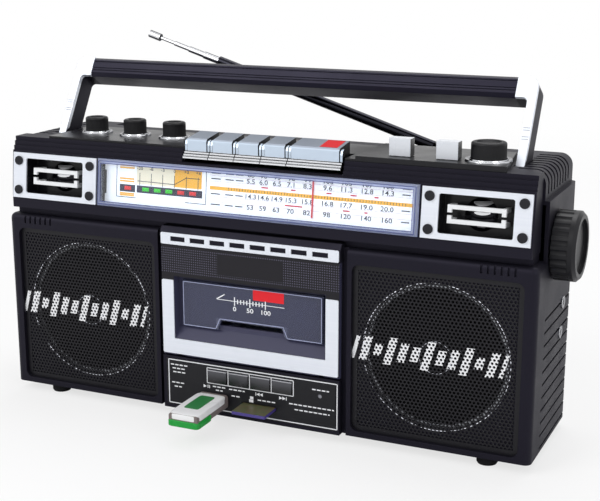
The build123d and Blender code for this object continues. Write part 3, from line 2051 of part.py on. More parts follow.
arm_inner = handle_half_width - handle_arm_width
with BuildPart() as handle_arms:
    for side in (-1, 1):
        arm(-arm_front - handle_trim_depth, side, 0, handle_trim_depth - handle_arm_depth)
        disc(
            aside(side * arm_inner),
            (handle_pivot_back, handle_pivot_height),
            handle_arm_depth / 2,
            side * handle_arm_width,
        )
        disc(
            aside(side * (arm_inner - handle_stud - well_gap)),
            (handle_pivot_back, handle_pivot_height),
            handle_stud_radius,
            side * (handle_arm_width + 2 * handle_stud + 2 * well_gap),
        )
handle_arms.part.label = "handle_arms"
export_step(handle_arms.part, "parts/handle_arms.step")

# Silver trims on the front of the arms and the upper corners
with BuildPart() as handle_trims:
    for side in (-1, 1):
        arm(-arm_front, side, 1, -handle_trim_depth)
    disc(
        aside(-handle_half_width - 1),
        (handle_pivot_back, handle_pivot_height),
        handle_arm_depth / 2,
        2 * handle_half_width + 2,
        Mode.SUBTRACT,
    )
handle_trims.part.label = "handle_trims"
export_step(handle_trims.part, "parts/handle_trims.step")

# Grip between the arms, bevelled and with three fine lines along its front
with BuildPart() as handle_grip:
    slab(
        on_handle(-arm_front),
        (-grip_half_width, grip_half_width),
        (handle_length - grip_height, handle_length),
        -handle_arm_depth,
    )
    forward_axis = Axis((0, 0, 0), (0, -cos(lean_away), sin(lean_away)))
    chamfer(handle_grip.edges().filter_by(Axis.X).group_by(forward_axis)[-1], grip_bevel)
    for up in grip_line_ups:
        slab(
            on_handle(-arm_front + 1),
            (-grip_half_width - 1, grip_half_width + 1),
            around(handle_length - grip_height + up, grip_line_width),
            -1 - grip_line_depth,
            mode=Mode.SUBTRACT,
        )
handle_grip.part.label = "handle_grip"
export_step(handle_grip.part, "parts/handle_grip.step")

# Aerial: swivel base, then tubes that slide in each other
rise = radians(aerial_rise)


def along_aerial(distance):
    """A plane square to the aerial, a distance from its pivot."""
    return Plane(
        origin=(
            mid_x + aerial_across - distance * cos(rise),
            mid_y + aerial_back,
            aerial_height + distance * sin(rise),
        ),
        x_dir=(0, 1, 0),
        z_dir=(-cos(rise), 0, sin(rise)),
    )


with BuildPart() as aerial_base:
    post_place = (aerial_across, aerial_back)
    disc(
        level(groove_floor - aerial_post_length),
        post_place,
        aerial_post_radius,
        aerial_post_length + 2 * moving_gap,
    )
    disc(level(groove_floor + moving_gap), post_place, aerial_flange_radius, aerial_flange)
    for side in (-1, 1):
        slab(
            level(groove_floor + moving_gap),
            around(aerial_across, aerial_cheek_width),
            sorted(aerial_back + side * back for back in aerial_cheek_backs),
            aerial_height - groove_floor - moving_gap + aerial_cheek_rise,
        )
    disc(
        facing(aerial_back + aerial_pin_half_length),
        (aerial_across, aerial_height),
        aerial_pin_radius,
        2 * aerial_pin_half_length,
    )
aerial_base.part.label = "aerial_base"
export_step(aerial_base.part, "parts/aerial_base.step")

with BuildPart() as aerial_tube:
    disc(
        facing(aerial_back + aerial_tongue / 2),
        (aerial_across, aerial_height),
        aerial_eye_radius,
        aerial_tongue,
    )
    with BuildSketch(along_aerial(0)) as tongue:
        Rectangle(aerial_tongue, aerial_tongue_width)
    extrude(tongue.sketch, amount=aerial_tongue_length)
    disc(
        along_aerial(aerial_tube_start),
        (0, 0),
        aerial_radii[0],
        aerial_tube_length - aerial_tube_start,
    )
    disc(
        along_aerial(aerial_tube_length + 1),
        (0, 0),
        aerial_radii[1] + 2 * running_gap,
        -aerial_overlap - aerial_bore_extra,
        Mode.SUBTRACT,
    )
    disc(
        facing(aerial_back + 3),
        (aerial_across, aerial_height),
        aerial_pin_radius + running_gap,
        6,
        Mode.SUBTRACT,
    )
aerial_tube.part.label = "aerial_tube"
export_step(aerial_tube.part, "parts/aerial_tube.step")

for number in (1, 2, 3, 4):
    inside = aerial_overlap - aerial_overlap_step * (number - 1)
    mouth = aerial_tube_length + aerial_shown * (number - 1)
    with BuildPart() as section:
        disc(along_aerial(mouth + aerial_shown), (0, 0), aerial_radii[number], -inside - aerial_shown)
        if number < 4:
            disc(
                along_aerial(mouth + aerial_shown + 1),
                (0, 0),
                aerial_radii[number + 1] + 2 * running_gap,
                -inside - aerial_shown - 2,
                Mode.SUBTRACT,
            )
        else:
            disc(
                along_aerial(mouth + aerial_shown),
                (0, 0),
                aerial_tip_radius,
                aerial_tip_length,
            )
    section.part.label = f"aerial_section_{number}"
    export_step(section.part, f"parts/aerial_section_{number}.step")

# Battery door on two small studs at its lower corners
with BuildPart() as battery_door:
    slab(
        facing(case_depth),
        (battery_left - battery_rabbet + moving_gap, battery_right + battery_rabbet - moving_gap),
        (battery_floor + moving_gap, battery_top + battery_rabbet - moving_gap),
        battery_door_thickness,
    )
    fillet(
        battery_door.edges().filter_by(Axis.X).group_by(Axis.Z)[0],
        radius=battery_door_thickness / 2 - seat_gap,
    )
    disc(
        aside(battery_left - battery_stud_reach),
        (battery_hinge_back, battery_hinge_height),
        battery_stud_radius,
        battery_right - battery_left + 2 * battery_stud_reach,
    )
    for turn in range(battery_rib_count):
        slab(
            facing(case_depth),
            battery_rib_across,
            around(battery_top - battery_rib_first - battery_rib_pitch * turn, battery_rib_width),
            battery_rib_depth,
            mode=Mode.SUBTRACT,
        )
battery_door.part.label = "battery_door"
export_step(battery_door.part, "parts/battery_door.step")
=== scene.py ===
"""A portable radio cassette player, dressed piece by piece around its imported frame."""
import math

import bpy
import numpy as np
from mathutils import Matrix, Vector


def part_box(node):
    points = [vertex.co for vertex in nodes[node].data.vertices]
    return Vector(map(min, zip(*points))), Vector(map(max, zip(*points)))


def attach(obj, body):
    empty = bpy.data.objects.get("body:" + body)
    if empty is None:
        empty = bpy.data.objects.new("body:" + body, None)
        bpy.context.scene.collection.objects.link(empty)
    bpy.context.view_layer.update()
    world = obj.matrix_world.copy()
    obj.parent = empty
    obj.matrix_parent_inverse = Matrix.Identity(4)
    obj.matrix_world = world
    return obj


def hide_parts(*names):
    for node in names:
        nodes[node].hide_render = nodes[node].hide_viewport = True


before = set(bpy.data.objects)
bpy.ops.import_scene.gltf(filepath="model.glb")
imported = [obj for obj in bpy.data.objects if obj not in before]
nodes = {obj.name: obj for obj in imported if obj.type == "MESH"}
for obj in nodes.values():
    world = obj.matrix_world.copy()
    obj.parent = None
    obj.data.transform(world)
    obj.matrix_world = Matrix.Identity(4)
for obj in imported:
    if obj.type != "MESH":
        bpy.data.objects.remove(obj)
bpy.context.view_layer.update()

scene = bpy.context.scene

# Camera: a short telephoto lens held a little above the player's top and off to its right,
# so that the front, the top and the right side all show.
eye = (0.3418, -0.7224, 0.3194)
turn = math.radians(24.184)
dip = math.radians(14.078)
lens = bpy.data.cameras.new("camera")
lens.lens = 74.41
camera = bpy.data.objects.new("camera", lens)
camera.location = eye
camera.rotation_euler = (math.pi / 2 - dip, 0, turn)
scene.collection.objects.link(camera)
scene.camera = camera

# Room: a pale painted floor that runs into a white surround, and three soft lamps.
# The surround is white for the eye, for reflections and through glass, and dimmer as light.
scene.view_settings.view_transform = "Standard"


def paint(code):
    """Turn sRGB hex to linear: a channel c is c/12.92 up to 0.04045, else ((c+0.055)/1.055)^2.4."""
    channels = np.array([int(code[at:at + 2], 16) for at in (1, 3, 5)]) / 255
    linear = np.where(channels <= 0.04045, channels / 12.92, ((channels + 0.055) / 1.055) ** 2.4)
    return (*linear.tolist(), 1.0)


def add(tree, kind, sockets=None, out=0, **settings):
    """Add a node with its settings, fill its sockets, painting hex codes, and give its output."""
    node = tree.nodes.new("ShaderNode" + kind)
    for name, value in settings.items():
        setattr(node, name, value)
    for name, value in (sockets or {}).items():
        if isinstance(value, bpy.types.NodeSocket):
            tree.links.new(value, node.inputs[name])
        else:
            node.inputs[name].default_value = paint(value) if isinstance(value, str) else value
    return node.outputs if out is None else node.outputs[out]


def new_finish(name):
    """A new material, its node tree and, in that, the Object coordinates in metres."""
    material = bpy.data.materials.new(name)
    material.use_nodes = True
    material.node_tree.nodes.clear()
    tree = material.node_tree
    return material, tree, add(tree, "TexCoord", None, "Object")


surround_light = 0.55
floor_reach = 3.0
floor_fade = (0.55, 1.5)
floor_glow = 0.72
world = bpy.data.worlds.new("white_surround")
scene.world = world
world.use_nodes = True
sky = world.node_tree
sky.nodes.clear()
ray = add(sky, "LightPath", None, None)
seen = add(sky, "Math", {0: ray["Is Camera Ray"], 1: ray["Is Glossy Ray"]}, operation="MAXIMUM")
seen = add(sky, "Math", {0: seen, 1: ray["Is Transmission Ray"]}, operation="MAXIMUM")
strength = add(sky, "MapRange", {"Value": seen, "To Min": surround_light})
surround = add(sky, "Background", {"Color": "#ffffff", "Strength": strength})
add(sky, "OutputWorld", {"Surface": surround}, None)

floor_mesh = bpy.data.meshes.new("floor")
corners = ((-1, -1), (1, -1), (1, 1), (-1, 1))
floor_mesh.from_pydata(
    [(x * floor_reach, y * floor_reach, 0) for x, y in corners], [], [(0, 1, 2, 3)]
)
floor = bpy.data.objects.new("floor", floor_mesh)
scene.collection.objects.link(floor)
matt_paint, tree, place = new_finish("matt_white_floor_paint")
matt = add(tree, "BsdfDiffuse", {"Color": "#f4f4f5"})
white = add(tree, "Emission", {"Color": "#ffffff", "Strength": 1.0})
seen = add(tree, "LightPath", None, "Is Camera Ray")
glow = add(tree, "Math", {0: seen, 1: floor_glow}, operation="MULTIPLY")
lit = add(tree, "MixShader", {"Fac": glow, 1: matt, 2: white})
reach = add(tree, "VectorMath", {0: place}, "Value", operation="LENGTH")
sockets = {"Value": reach, "From Min": floor_fade[0], "From Max": floor_fade[1]}
fade = add(tree, "MapRange", sockets, interpolation_type="SMOOTHSTEP")
mixed = add(tree, "MixShader", {"Fac": fade, 1: lit, 2: add(tree, "BsdfTransparent")})
add(tree, "OutputMaterial", {"Surface": mixed}, None)
floor_mesh.materials.append(matt_paint)


def lamp(name, place, aim, size, power):
    """A square soft lamp that faces a point."""
    light = bpy.data.lights.new(name, "AREA")
    light.shape = "SQUARE"
    light.size = size
    light.energy = power
    holder = bpy.data.objects.new(name, light)
    direction = np.array(aim) - np.array(place)
    flat = math.hypot(direction[0], direction[1])
    holder.location = place
    holder.rotation_euler = (
        math.atan2(flat, -direction[2]),
        0,
        math.atan2(-direction[0], direction[1]),
    )
    scene.collection.objects.link(holder)


lamp("key_lamp", (-0.9, -1.5, 1.5), (0, 0, 0.1), 1.1, 17)
lamp("side_lamp", (1.5, -0.9, 0.9), (0.1, 0, 0.1), 0.9, 5)
lamp("top_lamp", (0.1, 0.6, 1.6), (0, 0, 0.15), 1.0, 10)

# Cabinet, battery door and handle arms: thick ABS mouldings from tools with a spark-eroded grain,
# which gives black walls a soft, slightly purple sheen and edges that catch a thin light.
case_black = "#121118"
case_sheen = "#d4cff0"
grain_size = 0.00055
edge_radius = 0.0005
plastic_index = 1.46
plastic_shine = 0.28
gloss_patches = 45.0
patch_span = (0.3, 0.7)


def wander(tree, place, scale, detail, low, high, span=(0.0, 1.0)):
    """A value that wanders in patches: low and high at the two ends of a span of noise."""
    sockets = {"Vector": place, "Scale": scale, "Detail": detail}
    sockets = {"Value": add(tree, "TexNoise", sockets), "To Min": low, "To Max": high}
    return add(tree, "MapRange", {**sockets, "From Min": span[0], "From Max": span[1]})


def close_finish(tree, sockets):
    """End a finish with one principled shader."""
    add(tree, "OutputMaterial", {"Surface": add(tree, "BsdfPrincipled", sockets)}, None)


def moulded_plastic(name, colour, roughness, grain, depth, sheen="#ffffff"):
    """Plastic from a tool: fine grain, slow change of gloss and edges as round as the tool's."""
    material, tree, place = new_finish(name)
    rough = wander(tree, place, gloss_patches, 4.0, roughness - 0.04, roughness + 0.05, patch_span)
    rounded = add(tree, "Bevel", {"Radius": edge_radius}, samples=4)
    fine = add(tree, "TexNoise", {"Vector": place, "Scale": 1 / grain, "Detail": 3.0})
    sockets = {
        "Base Color": colour,
        "Roughness": rough,
        "IOR": plastic_index,
        "Specular IOR Level": plastic_shine,
        "Specular Tint": sheen,
        "Normal": add(
            tree, "Bump", {"Strength": 1.0, "Distance": depth, "Height": fine, "Normal": rounded}
        ),
    }
    close_finish(tree, sockets)
    return material


def dress(material, *names):
    """Give carried-over pieces their finish."""
    for name in names:
        for place in nodes[name].material_slots:
            place.material = material


black_abs = moulded_plastic(
    "black_abs_spark_grain", case_black, 0.5, grain_size, 0.00003, sheen=case_sheen
)
dress(black_abs, "front_cabinet", "rear_cabinet", "battery_door", "handle_arms")

# Feet: short studs of moulded rubber, pushed into the bottom of the case.
# Rubber is dull and takes up dust, so it is a little greyer than the case.
dress(moulded_plastic("black_moulded_rubber", "#17171a", 0.85, 0.0008, 0.00005), "feet")

# Screws: hardened steel with a black oxide coat, driven up into the case's bosses from behind
# and below. The coat leaves a dark, half-dull metal.
blackened_steel, tree, place = new_finish("black_oxide_steel")
sockets = {
    "Base Color": "#1f1f24",
    "Metallic": 0.6,
    "Roughness": wander(tree, place, 900.0, 3.0, 0.3, 0.6),
    "Normal": add(tree, "Bevel", {"Radius": 0.0004}, samples=4),
}
close_finish(tree, sockets)
dress(blackened_steel, "screws")

# Speaker grilles: pressed steel sheets, punched with round holes in a honeycomb and painted.
# A white motif of slanted bars is screen printed across each. Behind the holes lie painted
# highlights: thin pale rings that glow a little, at the edge of the cone's hole and of its dust
# cap.
hole_pitch = 0.0026
hole_radius = 0.00092
sheet_thickness = 0.0008
rim_width = 0.0035
hole_sides = 12
sheet_sink = 0.00005
rim_overlap = 0.001
grille_width = 0.1102
cone_radius = 0.0445
ring_behind = 0.00012
bar_pitch = 0.0083
bar_width = 0.0052
bar_swing = 0.3
swing_step = 2.3
motif_half_width = 0.0498
motif_half_height = 0.0096
motif_slant = 0.28
motif_shift = (-0.0045, 0.0005)


def place_mesh(name, points, faces, material, body, slot, smooth=False):
    """Make an object from points and faces, in place, and let it ride on its body."""
    mesh = bpy.data.meshes.new(name)
    faces = faces.tolist() if isinstance(faces, np.ndarray) else faces
    mesh.from_pydata(np.asarray(points).tolist(), [], faces)
    mesh.materials.append(material)
    if smooth:
        mesh.polygons.foreach_set("use_smooth", np.ones(len(mesh.polygons), bool))
    mesh.update()
    piece = bpy.data.objects.new(name, mesh)
    scene.collection.objects.link(piece)
    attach(piece, body)
    return piece


def loop_faces(loops, steps):
    """Quads that join closed loops of points, each loop to the next."""
    index = np.arange(loops * steps).reshape(loops, steps)
    after = np.roll(index, -1, axis=1)
    return np.stack([index[:-1], after[:-1], after[1:], index[1:]], -1).reshape(-1, 4)


def punched_field(low, high, front):
    """Honeycomb of punched cells between two corners.

    Cell (i, j) is centred at (i + (j mod 2) / 2) pitches across and j * sqrt(3) / 2 pitches up.
    Its outer points lie at half a pitch over the cosine of the angle folded to 30 degrees, which
    is the hexagon, and its inner points on the hole's circle. Front, hole wall and back are rings
    of quads between those loops.
    """
    rise = hole_pitch * math.sqrt(3) / 2
    columns = int((high[0] - low[0]) / hole_pitch) + 1
    rows = int((high[1] - low[1]) / rise)
    row, column = np.meshgrid(np.arange(rows), np.arange(columns), indexing="ij")
    across = low[0] + (column + 0.5 * (row % 2)) * hole_pitch + hole_pitch / 4
    up = low[1] + (row + 0.5) * rise + (high[1] - low[1] - rows * rise) / 2
    kept = across < high[0] - hole_pitch / 4
    centre = np.stack([across[kept], up[kept]], 1)
    angle = np.arange(hole_sides) * 2 * np.pi / hole_sides
    fold = (angle + np.pi / 6) % (np.pi / 3) - np.pi / 6
    unit = np.stack([np.cos(angle), np.sin(angle)], 1)
    outer = unit * (hole_pitch / 2 / np.cos(fold))[:, None]
    inner = unit * hole_radius
    flat = np.concatenate([outer, inner, inner, outer])
    deep = np.repeat([0, 0, sheet_thickness, sheet_thickness], hole_sides)
    points = np.zeros((len(centre), 4 * hole_sides, 3))
    points[:, :, 0] = centre[:, None, 0] + flat[None, :, 0]
    points[:, :, 2] = centre[:, None, 1] + flat[None, :, 1]
    points[:, :, 1] = front + deep[None, :]
    quads = loop_faces(4, hole_sides)
    starts = np.arange(len(centre)) * 4 * hole_sides
    faces = (quads[None] + starts[:, None, None]).reshape(-1, 4)
    return points.reshape(-1, 3), faces


def picture_frame(low, high, inner_low, inner_high, front, back):
    """A flat frame: four loops of corners, outer and inner, front and back, joined by quads."""
    loop = np.array([[0, 0], [1, 0], [1, 1], [0, 1]])
    outer = np.array(low) + loop * (np.array(high) - np.array(low))
    inner = np.array(inner_low) + loop * (np.array(inner_high) - np.array(inner_low))
    flat = np.concatenate([outer, inner, inner, outer])
    deep = np.repeat([front, front, back, back], 4)
    points = np.stack([flat[:, 0], deep, flat[:, 1]], 1)
    here = np.arange(4)
    after = (here + 1) % 4
    quads = [
        np.stack([4 * a + here, 4 * a + after, 4 * b + after, 4 * b + here], 1)
        for a, b in ((0, 1), (1, 2), (2, 3), (3, 0))
    ]
    return points, np.concatenate(quads)


def grille_paint(name, middle):
    """Black sheet paint with a white motif: bars slanted by a shear, whose heights swing.

    With s = x - slant * z, bar n is where s rounds to n pitches. It is white where s lies within
    half a bar's width of n pitches and z within h * (0.7 + 0.3 cos(2.3 n)) of the middle.
    """
    material, tree, place = new_finish(name)
    centred = add(
        tree, "VectorMath", {0: place, 1: (middle[0], 0, middle[1])}, operation="SUBTRACT"
    )
    axes = add(tree, "SeparateXYZ", {0: centred}, None)
    slanted = add(
        tree, "Math", {0: axes["Z"], 1: -motif_slant, 2: axes["X"]}, operation="MULTIPLY_ADD"
    )
    number = add(tree, "Math", {0: slanted, 1: bar_pitch}, operation="DIVIDE")
    number = add(tree, "Math", {0: number}, operation="ROUND")
    swing = add(tree, "Math", {0: number, 1: swing_step}, operation="MULTIPLY")
    swing = add(tree, "Math", {0: swing}, operation="COSINE")
    least, most = bar_swing * motif_half_height, (1 - bar_swing) * motif_half_height
    limits = (
        (
            add(tree, "Math", {0: number, 1: -bar_pitch, 2: slanted}, operation="MULTIPLY_ADD"),
            bar_width / 2,
        ),
        (slanted, motif_half_width),
        (axes["Z"], add(tree, "Math", {0: swing, 1: least, 2: most}, operation="MULTIPLY_ADD")),
    )
    white = 1.0
    for value, limit in limits:
        away = add(tree, "Math", {0: value}, operation="ABSOLUTE")
        within = add(tree, "Math", {0: away, 1: limit}, operation="LESS_THAN")
        white = add(tree, "Math", {0: within, 1: white}, operation="MULTIPLY")
    tone = add(
        tree, "Mix", {"Factor": white, "A": "#0f0e14", "B": "#f2f3f6"}, "Result", data_type="RGBA"
    )
    sockets = {
        "Base Color": tone,
        "Roughness": 0.42,
        "Specular IOR Level": 0.3,
    }
    close_finish(tree, sockets)
    return material


def flat_ring(centre, radius, width, back, steps=160):
    """A flat ring that faces the front: two circles of points joined by quads."""
    angle = np.arange(steps) * 2 * np.pi / steps
    reach = np.array([radius - width / 2, radius + width / 2])[:, None]
    across = centre[0] + reach * np.cos(angle)
    up = centre[1] + reach * np.sin(angle)
    points = np.stack([across, np.full(across.shape, back), up], -1)
    return points.reshape(-1, 3), loop_faces(2, steps)[:, ::-1]


def colour_with_painted_glow(name, colour, glow):
    """A colour that also glows a little in patches: painted light, which keeps a thin edge bright.
    """
    material, tree, place = new_finish(name)
    sockets = {
        "Base Color": colour,
        "Roughness": 0.3,
        "Emission Color": colour,
        "Emission Strength": wander(tree, place, 90.0, 3.0, 0.0, glow, (0.35, 0.65)),
    }
    close_finish(tree, sockets)
    return material


# Painted highlights: pale glowing rings that stand for light on the edges of the cone's hole and
# dust cap.
painted_highlight_rings = (
    ("hole", 0.0480, 0.00045, colour_with_painted_glow("worn_edge_of_abs", "#e4e6f0", 0.8)),
    ("cap", 0.0105, 0.0004, colour_with_painted_glow("edge_of_paper_cap", "#b8bac4", 0.5)),
)
grille_low, grille_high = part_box("speaker_grilles")
cone_low, cone_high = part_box("speaker_cones")
cabinet_low, cabinet_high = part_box("front_cabinet")
middle_across = (cabinet_low.x + cabinet_high.x) / 2
cone_height = (cone_low.z + cone_high.z) / 2
for side, name in ((-1, "left"), (1, "right")):
    edge = grille_low.x if side < 0 else grille_high.x - grille_width
    low = np.array((edge, grille_low.z))
    high = np.array((edge + grille_width, grille_high.z))
    window = (low + rim_width, high - rim_width)
    cone_across = middle_across + side * ((cone_high.x - cone_low.x) / 2 - cone_radius)
    motif = (cone_across + motif_shift[0], cone_height + motif_shift[1])
    sheet_paint = grille_paint(f"{name}_grille_stove_enamel", motif)
    points, faces = punched_field(
        window[0] - rim_overlap, window[1] + rim_overlap, grille_low.y + sheet_sink
    )
    sheet = place_mesh(f"{name}_grille", points, faces, sheet_paint, "root", "grille_metal")
    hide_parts("speaker_grilles")
    points, faces = picture_frame(low, high, *window, grille_low.y - 0.0001, grille_high.y)
    place_mesh(f"{name}_grille_rim", points, faces, sheet_paint, "root", "grille_metal")
    for kind, radius, width, material in painted_highlight_rings:
        points, faces = flat_ring(
            (cone_across, cone_height), radius, width, grille_high.y - ring_behind
        )
        place_mesh(f"{name}_{kind}_ring", points, faces, material, "root", "grille_metal")

# Speakers: pressed steel baskets with ceramic magnets, and black paper cones with felt-like fibre.
# They show only as darker discs through the grilles.
dress(moulded_plastic("black_cone_paper", "#0c0c0e", 0.9, 0.0012, 0.0001), "speaker_cones")
bright_steel, tree, place = new_finish("zinc_plated_steel")
sockets = {
    "Base Color": "#b9bcc2",
    "Metallic": 1.0,
    "Roughness": wander(tree, place, 260.0, 5.0, 0.25, 0.5),
}
close_finish(tree, sockets)
dress(bright_steel, "speaker_baskets", "deck_plate", "tape_head", "key_rod")
dress(bright_steel, "transformer", "deck_motor", "flywheel")

# Silver trims: ABS plates vacuum metallised and lacquered, at the tweeters, the slot strip,
# the cassette door and the handle. They are so pale that they read as satin white.
silver_lacquer, tree, place = new_finish("metallised_abs_lacquer")
drawn = add(tree, "Mapping", {"Vector": place, "Scale": (12.0, 900.0, 900.0)})
brushed = add(tree, "TexNoise", {"Vector": drawn, "Scale": 1.0, "Detail": 3.0})
tone = add(
    tree, "Mix", {"Factor": brushed, "A": "#e1e6f0", "B": "#ecf0f8"}, "Result", data_type="RGBA"
)
sockets = {
    "Base Color": tone,
    "Metallic": 0.3,
    "Roughness": 0.3,
    "Normal": add(tree, "Bevel", {"Radius": 0.0003}, samples=4),
}
close_finish(tree, sockets)
dress(silver_lacquer, "tweeter_plates", "slot_strip", "door_trim", "handle_trims")

# Tweeters: glossy black horns, mirror-plated domes painted dark with painted highlights, and
# guard bars of white ABS that stand across the mouths of the horns.
gloss_black_abs = moulded_plastic("gloss_black_abs", "#121216", 0.22, 0.0006, 0.000004)
dress(gloss_black_abs, "tweeter_horns")
dress(moulded_plastic("white_abs", "#eef0f2", 0.35, 0.0006, 0.000006), "tweeter_guards")
# Chrome: pale where it faces the eye and painted dark where it turns away, a painted reflection of
# a dark room. It dresses the side jacks and the knobs' rings.
chrome, tree, place = new_finish("chrome_plate")
rounded = add(tree, "Bevel", {"Radius": 0.0004}, samples=4)
turned_away = add(tree, "LayerWeight", {"Blend": 0.45, "Normal": rounded}, "Facing")
painted_rim_reflection = add(tree, "MapRange", {"Value": turned_away, "From Min": 0.15, "From Max": 0.75})
tone = add(
    tree, "Mix", {"Factor": painted_rim_reflection, "A": "#e4e6ea", "B": "#4b4c55"}, "Result", data_type="RGBA"
)
sockets = {
    "Base Color": tone,
    "Metallic": 1.0,
    "Roughness": wander(tree, place, 150.0, 3.0, 0.05, 0.14),
    "Normal": rounded,
}
close_finish(tree, sockets)
dress(chrome, "side_jacks")
band_lean = math.radians(6.2)
band_foot = 0.144
grille_behind = 0.0028
front_back = grille_low.y - grille_behind
flute_fade = 0.0006


def leaning_face(back, foot, lean, forward=0.0):
    """A function that puts across, up the face and proud of it on a face that leans back.

    The point is (across, back + up sin(lean) - out cos(lean), foot + up cos(lean) + out sin(lean)),
    with out = forward + proud, all in metres.
    """

    def put(across, up, proud=0.0):
        across, up = np.broadcast_arrays(np.asarray(across, float), np.asarray(up, float))
        out = forward + proud
        deep = back + up * math.sin(lean) - out * math.cos(lean)
        height = foot + up * math.cos(lean) + out * math.sin(lean)
        return np.stack([middle_across + across, deep, height], -1)

    return put


def turned(profile, around_steps, flutes=0, depth=0.0, band=(0.0, 0.0)):
    """A lathe form: points (r(t) - flute, angle, h(t)) round an axis.

    The flute is depth * (0.5 + 0.5 cos(flutes * angle)), faded in and out between the heights of
    the band, so that the lip and the foot stay round.
    """
    angle = np.arange(around_steps) * 2 * np.pi / around_steps
    radius, height = np.asarray(profile, float).T
    fade = np.clip((height - band[0]) / flute_fade, 0, 1)
    fade *= np.clip((band[1] - height) / flute_fade, 0, 1)
    cut = depth * (0.5 + 0.5 * np.cos(flutes * angle))
    reach = np.maximum(radius[:, None] - fade[:, None] * cut[None], 0.0)
    points = np.stack(
        [reach * np.cos(angle), reach * np.sin(angle), np.repeat(height[:, None], len(angle), 1)],
        -1,
    )
    return points.reshape(-1, 3), loop_faces(len(radius), around_steps)


def arc(centre, radius, start, stop, steps):
    """Profile points on a circle from one angle to another, in degrees."""
    angle = np.radians(np.linspace(start, stop, steps))
    return np.stack(
        [centre[0] + radius * np.cos(angle), centre[1] + radius * np.sin(angle)], 1
    )


def inside(tree, value, low, high):
    """1 where a value lies between two limits, else 0."""
    over = add(tree, "Math", {0: value, 1: low}, operation="GREATER_THAN")
    under = add(tree, "Math", {0: value, 1: high}, operation="LESS_THAN")
    return add(tree, "Math", {0: over, 1: under}, operation="MULTIPLY")


on_band = leaning_face(front_back, band_foot, band_lean)
# The domes' chrome is painted dark, a painted reflection, with painted highlights: bright ellipses
# where the surface's normal points in given directions.
chrome_with_painted_reflections, tree, place = new_finish("dark_chrome_plate")
normal = add(tree, "NewGeometry", None, "Normal")
painted_dome_highlights = (
    ((0.06, 0.56), (0.38, 0.075)),
    ((0.08, 0.20), (0.36, 0.09)),
    ((0.04, -0.40), (0.2, 0.03)),
)
painted_highlight = 0.0
for (side_on, upward), (wide, tall) in painted_dome_highlights:
    away = add(tree, "VectorMath", {0: normal, 1: (side_on, 0, upward)}, operation="SUBTRACT")
    away = add(tree, "VectorMath", {0: away, 1: (1 / wide, 0, 1 / tall)}, operation="MULTIPLY")
    away = add(tree, "VectorMath", {0: away}, "Value", operation="LENGTH")
    spot = add(tree, "Math", {0: away, 1: 1.0}, operation="LESS_THAN")
    painted_highlight = add(tree, "Math", {0: spot, 1: painted_highlight}, operation="MAXIMUM")
tone = add(
    tree, "Mix", {"Factor": painted_highlight, "A": "#17171d", "B": "#f2f3f6"}, "Result", data_type="RGBA"
)
sockets = {
    "Base Color": tone,
    "Metallic": 0.7,
    "Roughness": 0.2,
}
close_finish(tree, sockets)
horn_depth = 0.012
dome_reach = 0.0103
dome_rise = 0.0042
reach = np.linspace(dome_reach, 0.0001, 60)
swell = dome_rise * (1 - (reach / dome_reach) ** 2)
dome_profile = np.stack([reach, 0.0001 + swell], 1)
tweeter_spot = (0.15025, 0.01575)
for side, name in ((-1, "left"), (1, "right")):
    points, faces = turned(dome_profile, 96)
    points = on_band(
        side * tweeter_spot[0] + points[:, 0],
        tweeter_spot[1] + points[:, 1],
        points[:, 2] - horn_depth,
    )
    dome = place_mesh(f"{name}_dome", points, faces, chrome_with_painted_reflections, "root", "chrome", smooth=True)
    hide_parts("tweeter_domes")

# Dial window and door window: moulded acrylic, a little blue in its thickness, with a bevelled
# edge that sits in the case. Lamps shine through it to the print, as real acrylic lets them.
acrylic_index = 1.49
acrylic_edge = 0.0006
edge_clearness = 0.6
dial_edge = 0.0030
lens_edge = 0.0016
lens_notch = (0.0262, 0.0086)


def in_rectangle(tree, axes, low, high):
    """1 where X and Z lie in a rectangle, else 0."""
    across = inside(tree, axes["X"], low[0], high[0])
    up = inside(tree, axes["Z"], low[1], high[1])
    return add(tree, "Math", {0: across, 1: up}, operation="MULTIPLY")


def clear_acrylic(name, tint, edge_tint, cloud, low, high, notch, clearness):
    """Acrylic of index 1.49 that lets lamp rays straight through.

    Outside the clear rectangle (low to high, across and up) and in the notch (low to high), it is
    a moulded edge, which scatters a part of the light.
    """
    material, tree, place = new_finish(name)
    axes = add(tree, "SeparateXYZ", {0: place}, None)
    areas = [in_rectangle(tree, axes, *corners) for corners in ((low, high), notch)]
    clear = add(tree, "Math", {0: areas[0], 1: areas[1]}, operation="SUBTRACT", use_clamp=True)
    tone = add(
        tree, "Mix", {"Factor": clear, "A": edge_tint, "B": tint}, "Result", data_type="RGBA"
    )
    sockets = {
        "Base Color": tone,
        "Roughness": cloud,
        "IOR": acrylic_index,
        "Transmission Weight": add(
            tree, "MapRange", {"Value": clear, "To Min": edge_clearness, "To Max": clearness}
        ),
        "Normal": add(tree, "Bevel", {"Radius": acrylic_edge}, samples=4),
    }
    glass = add(tree, "BsdfPrincipled", sockets)
    open_way = add(tree, "BsdfTransparent", {"Color": tint})
    in_shadow = add(tree, "LightPath", None, "Is Shadow Ray")
    mixed = add(tree, "MixShader", {"Fac": in_shadow, 1: glass, 2: open_way})
    add(tree, "OutputMaterial", {"Surface": mixed}, None)
    return material


